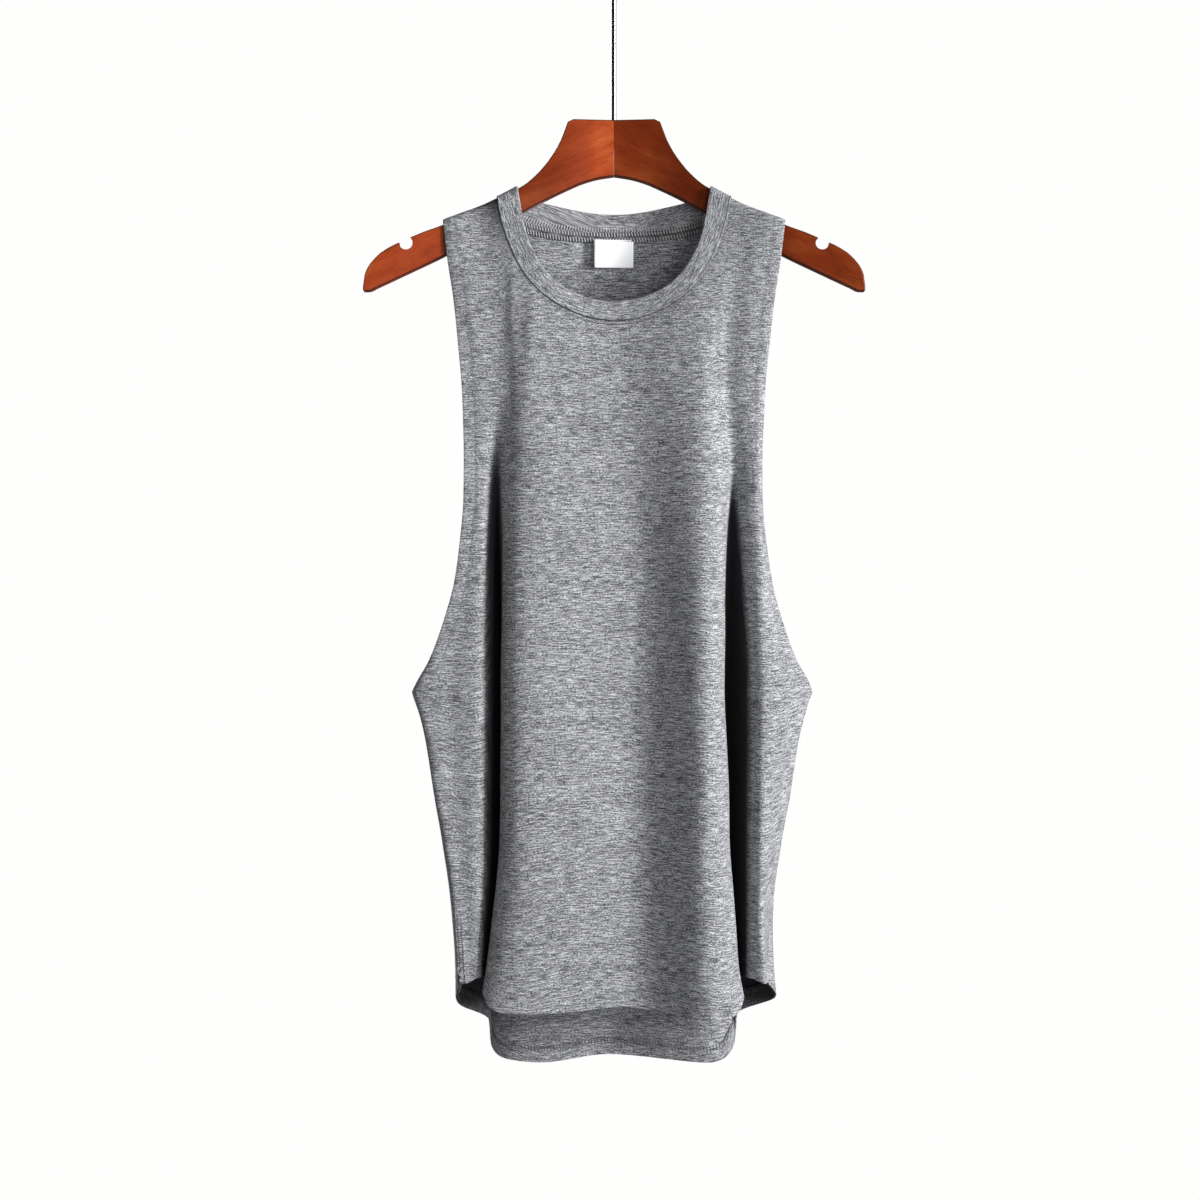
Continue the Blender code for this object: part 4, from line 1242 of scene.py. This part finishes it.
def maths(tree, operation, *values):
    return add(tree, "ShaderNodeMath", dict(enumerate(values)), operation=operation).outputs[0]


def group_tree(name, inputs, outputs):
    """A new node group; inputs are (name, socket type, default), outputs are (name, socket type)."""
    tree = bpy.data.node_groups.new(name, "ShaderNodeTree")
    for label, kind, default in inputs:
        tree.interface.new_socket(label, in_out="INPUT", socket_type=kind).default_value = default
    for label, kind in outputs:
        tree.interface.new_socket(label, in_out="OUTPUT", socket_type=kind)
    return tree, tree.nodes.new("NodeGroupInput").outputs, tree.nodes.new("NodeGroupOutput").inputs


def use(tree, group, **inputs):
    made = tree.nodes.new("ShaderNodeGroup")
    made.node_tree = group
    for key, value in inputs.items():
        label = key.replace("_", " ")
        if isinstance(value, bpy.types.NodeSocket):
            tree.links.new(value, made.inputs[label])
        else:
            made.inputs[label].default_value = value
    return made.outputs


def ramp(tree, value, *stops):
    """A colour ramp from a value; stops are (position, (r, g, b))."""
    made = add(tree, "ShaderNodeValToRGB", {"Fac": value})
    elements = made.color_ramp.elements
    while len(elements) < len(stops):
        elements.new(0.5)
    for element, (position, colour) in zip(elements, stops):
        element.position = position
        element.color = (*colour, 1)
    return made.outputs["Color"]


def greys(stops):
    """Stops for a ramp of greys, from (position, brightness)."""
    return [(at, (grey, grey, grey)) for at, grey in stops]


def fresh_material(name):
    made = bpy.data.materials.new(name)
    made.use_nodes = True
    return made, made.node_tree, made.node_tree.nodes["Principled BSDF"]


def dress(looks, *pieces):
    for piece in pieces:
        piece.data.materials.clear()
        piece.data.materials.append(looks)


# %% [markdown]
# ### Streaked fibres and knitted loops
# Heather yarn is spun from dark and light fibres, so each course of the knit is a broken line of tones:
# noise stretched along the course gives that, at three sizes. Jersey shows columns of small V shapes; two
# slanting half-waves make one, and a Bump node turns them into relief.

# %% The two shared groups
def streak_group():
    tree, given, out = group_tree(
        "mixed_fibres",
        [("Vector", "NodeSocketVector", (0, 0, 0)), ("Length", "NodeSocketFloat", 0.012),
         ("Height", "NodeSocketFloat", 0.0013)],
        [("Tone", "NodeSocketFloat")],
    )
    split = add(tree, "ShaderNodeSeparateXYZ", {0: given["Vector"]}).outputs
    tones = []
    for stretch, size, share in ((0.6, 0.78, 0.44), (3.2, 0.85, 0.44), (20.0, 7.0, 0.10)):
        x = maths(tree, "DIVIDE", split[0], maths(tree, "MULTIPLY", given["Length"], stretch))
        y = maths(tree, "DIVIDE", split[1], maths(tree, "MULTIPLY", given["Height"], size))
        at = add(tree, "ShaderNodeCombineXYZ", {0: x, 1: y, 2: split[2]}).outputs[0]
        noise = add(tree, "ShaderNodeTexNoise", {"Vector": at, "Scale": 1.0, "Detail": 1.0, "Roughness": 0.5})
        tones.append(maths(tree, "MULTIPLY", noise.outputs["Fac"], share))
    total = maths(tree, "ADD", maths(tree, "ADD", tones[0], tones[1]), tones[2])
    tree.links.new(total, out["Tone"])
    return tree


def knit_group():
    tree, given, out = group_tree(
        "knitted_loops",
        [("Vector", "NodeSocketVector", (0, 0, 0)), ("Wale", "NodeSocketFloat", 0.0008),
         ("Course", "NodeSocketFloat", 0.0006)],
        [("Height", "NodeSocketFloat")],
    )
    split = add(tree, "ShaderNodeSeparateXYZ", {0: given["Vector"]}).outputs
    across = maths(tree, "FRACT", maths(tree, "DIVIDE", split[0], given["Wale"]))
    arm = maths(tree, "MULTIPLY", maths(tree, "ABSOLUTE", maths(tree, "SUBTRACT", across, 0.5)), 2.0)
    slant = maths(tree, "ADD", maths(tree, "DIVIDE", split[1], given["Course"]),
                  maths(tree, "MULTIPLY", arm, 0.7))
    yarn = maths(tree, "ABSOLUTE", maths(tree, "SINE", maths(tree, "MULTIPLY", slant, math.pi)))
    round_arm = maths(tree, "SINE", maths(tree, "MULTIPLY", arm, math.pi))
    tree.links.new(maths(tree, "MULTIPLY", yarn, maths(tree, "ADD", round_arm, 0.35)), out["Height"])
    return tree


mixed_fibres, knitted_loops = streak_group(), knit_group()
print("node groups:", mixed_fibres.name, "and", knitted_loops.name)

# %% Jersey, band and thread
DARK_FIBRE, MID_FIBRE, LIGHT_FIBRE = (0.070, 0.072, 0.079), (0.250, 0.255, 0.268), (0.64, 0.65, 0.68)
DEEP_SHADE = (0.012, 0.012, 0.014, 1)   # what comes back out of the root of a pleat


def jersey(name, length=0.0031, height=0.0013, wale=0.0008, course=0.00062, inside_only=False):
    made, tree, shader = fresh_material(name)
    uv = add(tree, "ShaderNodeUVMap", uv_map="cloth").outputs["UV"]
    tone = use(tree, mixed_fibres, Vector=uv, Length=length, Height=height)["Tone"]
    loops_up = use(tree, knitted_loops, Vector=uv, Wale=wale, Course=course)["Height"]
    lit = ramp(tree, tone, (0.38, DARK_FIBRE), (0.49, MID_FIBRE), (0.61, LIGHT_FIBRE))
    shade = add(tree, "ShaderNodeAttribute", attribute_name="shade").outputs["Fac"]
    if inside_only:   # only faces that look forward, and on the wings not outwards
        coordinates = add(tree, "ShaderNodeTexCoord").outputs
        faces = add(tree, "ShaderNodeSeparateXYZ", {0: coordinates["Normal"]}).outputs
        place = add(tree, "ShaderNodeSeparateXYZ", {0: coordinates["Object"]}).outputs
        outwards = maths(tree, "MULTIPLY", faces[0], maths(tree, "SIGN", place[0]))
        inside = maths(tree, "MULTIPLY", maths(tree, "LESS_THAN", faces[1], 0.0),
                       maths(tree, "LESS_THAN", outwards, 0.3))
        shade = maths(tree, "MULTIPLY", shade, inside)
    colour = add(tree, "ShaderNodeMix", {"Factor": shade, "A": lit, "B": DEEP_SHADE},
                 data_type="RGBA").outputs["Result"]
    tree.links.new(colour, shader.inputs["Base Color"])
    rough = add(tree, "ShaderNodeMapRange", {"Value": tone, "To Min": 0.95, "To Max": 0.75}).outputs[0]
    tree.links.new(rough, shader.inputs["Roughness"])
    relief_height = maths(tree, "ADD", maths(tree, "MULTIPLY", loops_up, 0.6), tone)
    bump = add(tree, "ShaderNodeBump", {"Height": relief_height, "Strength": 0.55, "Distance": 0.0002})
    tree.links.new(bump.outputs[0], shader.inputs["Normal"])
    shader.inputs["Sheen Weight"].default_value = 0.18
    shader.inputs["Sheen Roughness"].default_value = 0.45
    shader.inputs["Specular IOR Level"].default_value = 0.25
    return made


def thread_look(name, dark, light):
    made, tree, shader = fresh_material(name)
    at = add(tree, "ShaderNodeTexCoord").outputs["Object"]
    noise = add(tree, "ShaderNodeTexNoise", {"Vector": at, "Scale": 1800.0, "Detail": 2.0})
    colour = ramp(tree, noise.outputs["Fac"], (0.35, dark), (0.65, light))
    tree.links.new(colour, shader.inputs["Base Color"])
    bump = add(tree, "ShaderNodeBump", {"Height": noise.outputs["Fac"], "Strength": 0.4, "Distance": 0.0001})
    tree.links.new(bump.outputs[0], shader.inputs["Normal"])
    shader.inputs["Roughness"].default_value = 0.55
    return made


jersey_look = jersey("heather_jersey")
band_look = jersey("heather_band", length=0.0026, height=0.0013, wale=0.0011, course=0.0008)
back_look = jersey("heather_jersey_back", inside_only=True)
dress(jersey_look, cloth_pieces["front"], *tapes)
dress(back_look, cloth_pieces["back"])
dress(band_look, neck_band)
thread = thread_look("sewing_thread", (0.20, 0.205, 0.215), (0.42, 0.425, 0.44))
dress(thread, *[piece for group in stitches.values() for piece in group])
dress(thread_look("pale_thread", (0.42, 0.425, 0.44), (0.74, 0.745, 0.76)), *loops)
dress(thread_look("dark_thread", (0.05, 0.05, 0.055), (0.13, 0.13, 0.14)), *hem_loops)
print("finishes of cloth and thread:", jersey_look.name, band_look.name, back_look.name, thread.name)

# %% [markdown]
# ### Satin, wood and wire
# The label's satin is all but white with fine ribs of weave. The wood's grain is noise drawn out along each
# arm; where its rims turn away its colour is darkened, as painted shade, and a clear coat lies over it. The
# wire is polished steel with faint marks from drawing, dark on its left as if it mirrored a dark room.

# %% Label and wire
def satin_look(name, colour, rib=0.00035):
    made, tree, shader = fresh_material(name)
    uv = add(tree, "ShaderNodeUVMap", uv_map="cloth").outputs["UV"]
    wave = add(tree, "ShaderNodeTexWave", {"Vector": uv, "Scale": 1 / rib / (2 * math.pi),
                                           "Distortion": 1.5, "Detail": 1.0}, bands_direction="Y")
    noise = add(tree, "ShaderNodeTexNoise", {"Vector": uv, "Scale": 220.0, "Detail": 3.0})
    tone = maths(tree, "ADD", maths(tree, "MULTIPLY", wave.outputs["Fac"], 0.4),
                 maths(tree, "MULTIPLY", noise.outputs["Fac"], 0.6))
    low = [0.93 * c for c in colour]
    tree.links.new(ramp(tree, tone, (0.3, low), (0.7, colour)), shader.inputs["Base Color"])
    bump = add(tree, "ShaderNodeBump", {"Height": wave.outputs["Fac"], "Strength": 0.25, "Distance": 0.0001})
    tree.links.new(bump.outputs[0], shader.inputs["Normal"])
    shader.inputs["Roughness"].default_value = 0.45
    # painted light: the satin glows a little, so that it stays white in the strap's shade
    shader.inputs["Emission Color"].default_value = (0.9, 0.93, 1, 1)
    shader.inputs["Emission Strength"].default_value = 0.2
    return made


DARK_SIDE = ((0.0, 0.25), (0.1, 0.01), (0.50, 0.03), (0.62, 1.0))   # brightness from the wire's left on


def wire_look():
    made, tree, shader = fresh_material("polished_wire")
    coordinates = add(tree, "ShaderNodeTexCoord").outputs
    drawn = add(tree, "ShaderNodeMapping", {"Vector": coordinates["Object"], "Scale": (1500, 1500, 12)})
    noise = add(tree, "ShaderNodeTexNoise", {"Vector": drawn.outputs[0], "Scale": 1.0, "Detail": 3.0})
    steel = ramp(tree, noise.outputs["Fac"], (0.3, (0.22, 0.23, 0.225)), (0.7, (0.30, 0.31, 0.305)))
    # the left of the round wire mirrors a dark room, which the pale studio hasn't got
    aside = add(tree, "ShaderNodeSeparateXYZ", {0: coordinates["Normal"]}).outputs[0]
    room = ramp(tree, maths(tree, "ADD", maths(tree, "MULTIPLY", aside, 0.5), 0.5), *greys(DARK_SIDE))
    colour = add(tree, "ShaderNodeMix", {"Factor": 1.0, "A": steel, "B": room},
                 data_type="RGBA", blend_type="MULTIPLY").outputs["Result"]
    tree.links.new(colour, shader.inputs["Base Color"])
    rough = add(tree, "ShaderNodeMapRange", {"Value": noise.outputs["Fac"], "To Min": 0.12, "To Max": 0.28})
    tree.links.new(rough.outputs[0], shader.inputs["Roughness"])
    shader.inputs["Metallic"].default_value = 1.0
    return made


dress(satin_look("white_satin", (0.90, 0.905, 0.91)), neck_label)
dress(thread, label_stitches)
dress(wire_look(), hook)
print("the hook is of", hook.data.materials[0].name)


# %% Stained wood
LEFT_HALF_SHADE, RIGHT_HALF_SHADE = 1.0, 0.64    # painted shade: the right half turns away from the light on the right, so its colour is darkened; the left's is not
ALONG_ARM = ((0.06, 1.1), (0.28, 0.58), (0.60, 0.62), (0.76, 1.0))   # darker along the middle of each arm than at the block and the tips
RIM_SHADE = ((0.1, 0.75), (0.45, 0.10), (0.80, 0.14), (0.98, 1.0))     # painted shade: much darker on the rounded rims, where they turn away from the front


def wood_look(name, side):
    """The grain runs down each arm, so each half turns the pattern its own way."""
    made, tree, shader = fresh_material(name)
    coordinates = add(tree, "ShaderNodeTexCoord").outputs
    lean = math.radians(-24 * side)
    turned = add(tree, "ShaderNodeMapping", {"Vector": coordinates["Object"], "Rotation": (0, lean, 0)})
    grain_at = add(tree, "ShaderNodeMapping", {"Vector": turned.outputs[0], "Scale": (6, 40, 70)})
    grain = add(tree, "ShaderNodeTexNoise", {"Vector": grain_at.outputs[0], "Scale": 1.0, "Detail": 4.0,
                                             "Distortion": 0.4})
    pore_at = add(tree, "ShaderNodeMapping", {"Vector": turned.outputs[0], "Scale": (60, 500, 900)})
    pores = add(tree, "ShaderNodeTexNoise", {"Vector": pore_at.outputs[0], "Scale": 1.0, "Detail": 2.0})
    cloud = add(tree, "ShaderNodeTexNoise", {"Vector": coordinates["Object"], "Scale": 22.0, "Detail": 2.0})
    tone = maths(tree, "ADD", maths(tree, "MULTIPLY", grain.outputs["Fac"], 0.5),
                 maths(tree, "MULTIPLY", cloud.outputs["Fac"], 0.5))
    colour = ramp(tree, tone, (0.30, (0.24, 0.028, 0.006)), (0.50, (0.37, 0.055, 0.012)),
                  (0.70, (0.54, 0.115, 0.026)))
    aside = maths(tree, "ABSOLUTE", add(tree, "ShaderNodeSeparateXYZ", {0: coordinates["Object"]}).outputs[0])
    # darker along the middle of each arm, by how far out it lies
    along_arm = ramp(tree, maths(tree, "DIVIDE", aside, ARM_HALF * MM), *greys(ALONG_ARM))
    # painted shade: darker where the rims' faces turn away from the front
    facing_out = add(tree, "ShaderNodeSeparateXYZ", {0: coordinates["Normal"]}).outputs[1]
    rim_shade = ramp(tree, maths(tree, "ABSOLUTE", facing_out), *greys(RIM_SHADE))
    pore_tone = add(tree, "ShaderNodeMapRange", {"Value": pores.outputs["Fac"], "From Min": 0.3,
                                                 "From Max": 0.5, "To Min": 0.72, "To Max": 1.0}).outputs[0]
    # painted shade: the right half's colour is darkened
    half_shade = LEFT_HALF_SHADE if side < 0 else RIGHT_HALF_SHADE
    darker = maths(tree, "MULTIPLY", maths(tree, "MULTIPLY", pore_tone, along_arm), half_shade)
    depth = maths(tree, "MULTIPLY", rim_shade, darker)
    grey = add(tree, "ShaderNodeCombineColor", {k: depth for k in range(3)}).outputs[0]
    shade = add(tree, "ShaderNodeMix", {"Factor": 1.0, "A": colour, "B": grey},
                data_type="RGBA", blend_type="MULTIPLY")
    tree.links.new(shade.outputs["Result"], shader.inputs["Base Color"])
    rough = add(tree, "ShaderNodeMapRange", {"Value": grain.outputs["Fac"], "To Min": 0.22, "To Max": 0.38})
    tree.links.new(rough.outputs[0], shader.inputs["Roughness"])
    bump = add(tree, "ShaderNodeBump", {"Height": pores.outputs["Fac"], "Strength": 0.15, "Distance": 0.0002})
    tree.links.new(bump.outputs[0], shader.inputs["Normal"])
    shader.inputs["Specular IOR Level"].default_value = 0.15
    shader.inputs["Coat Weight"].default_value = 0.25
    shader.inputs["Coat Roughness"].default_value = 0.06
    return made


for piece, side in zip(wood_pieces, (-1, 1)):
    dress(wood_look(f"stained_{piece.name}", side), piece)
    print(piece.name, "is of", piece.data.materials[0].name)

# %% [markdown]
# ## The cut of each cloth piece
# Cloth has a flat pattern before it is sewn. For each panel, the sizes across and down that the built cloth
# measures along its folds are printed.

for name, panel in PANELS:
    points = folded[panel]
    print(name, "is", round(float(walk(points).max())), "mm across and",
          round(float(walk(points.transpose(1, 0, 2)).max())), "mm long through its folds")

# %% [markdown]
# ## Studio
# The picture is a bright product shot with white all round. A tall soft light stands to the right and rakes
# across the folds, a weaker one nearer the camera fills the front, and a faint one comes from the left. A
# fourth, behind, is for views of the back. The camera stands level with the middle of the cloth.

# %% Camera
EYE = (-12.4, -2220.0, -591.6)
VIEW_WIDTH = 1063.2      # what the picture spans, at the depth of the cloth's face
VIEW_DISTANCE = 2200.0
camera_data = bpy.data.cameras.new("camera")
camera_data.sensor_width = 36
camera_data.lens = 36 / VIEW_WIDTH * VIEW_DISTANCE
camera = bpy.data.objects.new("camera", camera_data)
camera.location = [c * MM for c in EYE]
camera.rotation_euler = (math.pi / 2, 0, 0)
bpy.context.scene.collection.objects.link(camera)
bpy.context.scene.camera = camera
print("the camera's lens is", round(camera_data.lens, 2), "mm")


# %% Lights and floor
def area_light(name, place, target, size, watts):
    data = bpy.data.lights.new(name, "AREA")
    data.shape = "RECTANGLE"
    data.size, data.size_y = size
    data.energy = watts
    made = bpy.data.objects.new(name, data)
    made.location = place
    aim = Vector(target) - Vector(place)
    made.rotation_euler = aim.to_track_quat("-Z", "Y").to_euler()
    bpy.context.scene.collection.objects.link(made)


CLOTH_CENTRE = (0.0, -0.02, -0.6)
WHITE, WHITE_LEVEL = (1, 1, 0.992, 1), 0.995     # what the camera sees of the floor and the sky
area_light("key", (2.4, -1.15, -0.15), CLOTH_CENTRE, (0.5, 1.6), 106)
area_light("fill", (1.55, -2.45, 0.1), CLOTH_CENTRE, (0.9, 1.6), 28)
area_light("bounce", (-1.9, -2.2, 0.1), CLOTH_CENTRE, (1.2, 1.6), 9)
area_light("rear", (-1.3, 2.6, 0.2), CLOTH_CENTRE, (1.2, 1.6), 60)


def white_floor():
    """A pale floor that turns pure white where the camera sees it."""
    bm = bmesh.new()
    bmesh.ops.create_circle(bm, cap_ends=True, segments=64, radius=7)
    bmesh.ops.translate(bm, verts=bm.verts, vec=(0, 0, -1.75))
    floor = finish_mesh("floor", bm)
    made, tree, shader = fresh_material("white_floor")
    shader.inputs["Base Color"].default_value = (0.4, 0.4, 0.395, 1)
    shader.inputs["Roughness"].default_value = 0.9
    glow = add(tree, "ShaderNodeEmission", {"Color": WHITE, "Strength": WHITE_LEVEL})
    seen = add(tree, "ShaderNodeLightPath").outputs["Is Camera Ray"]
    both = add(tree, "ShaderNodeMixShader", {0: seen, 1: shader.outputs[0], 2: glow.outputs[0]})
    tree.links.new(both.outputs[0], tree.nodes["Material Output"].inputs["Surface"])
    dress(made, floor)


def white_world():
    world = bpy.data.worlds.new("studio")
    world.use_nodes = True
    tree = world.node_tree
    light = tree.nodes["Background"]
    light.inputs["Color"].default_value = (0.95, 0.97, 1, 1)
    light.inputs["Strength"].default_value = 0.045
    white = add(tree, "ShaderNodeBackground", {"Color": WHITE, "Strength": WHITE_LEVEL})
    seen = add(tree, "ShaderNodeLightPath").outputs["Is Camera Ray"]
    both = add(tree, "ShaderNodeMixShader", {0: seen, 1: light.outputs[0], 2: white.outputs[0]})
    tree.links.new(both.outputs[0], tree.nodes["World Output"].inputs["Surface"])
    bpy.context.scene.world = world


white_floor()
white_world()
bpy.context.scene.view_settings.view_transform = "Standard"
print("lights:", [light.name for light in bpy.data.lights])
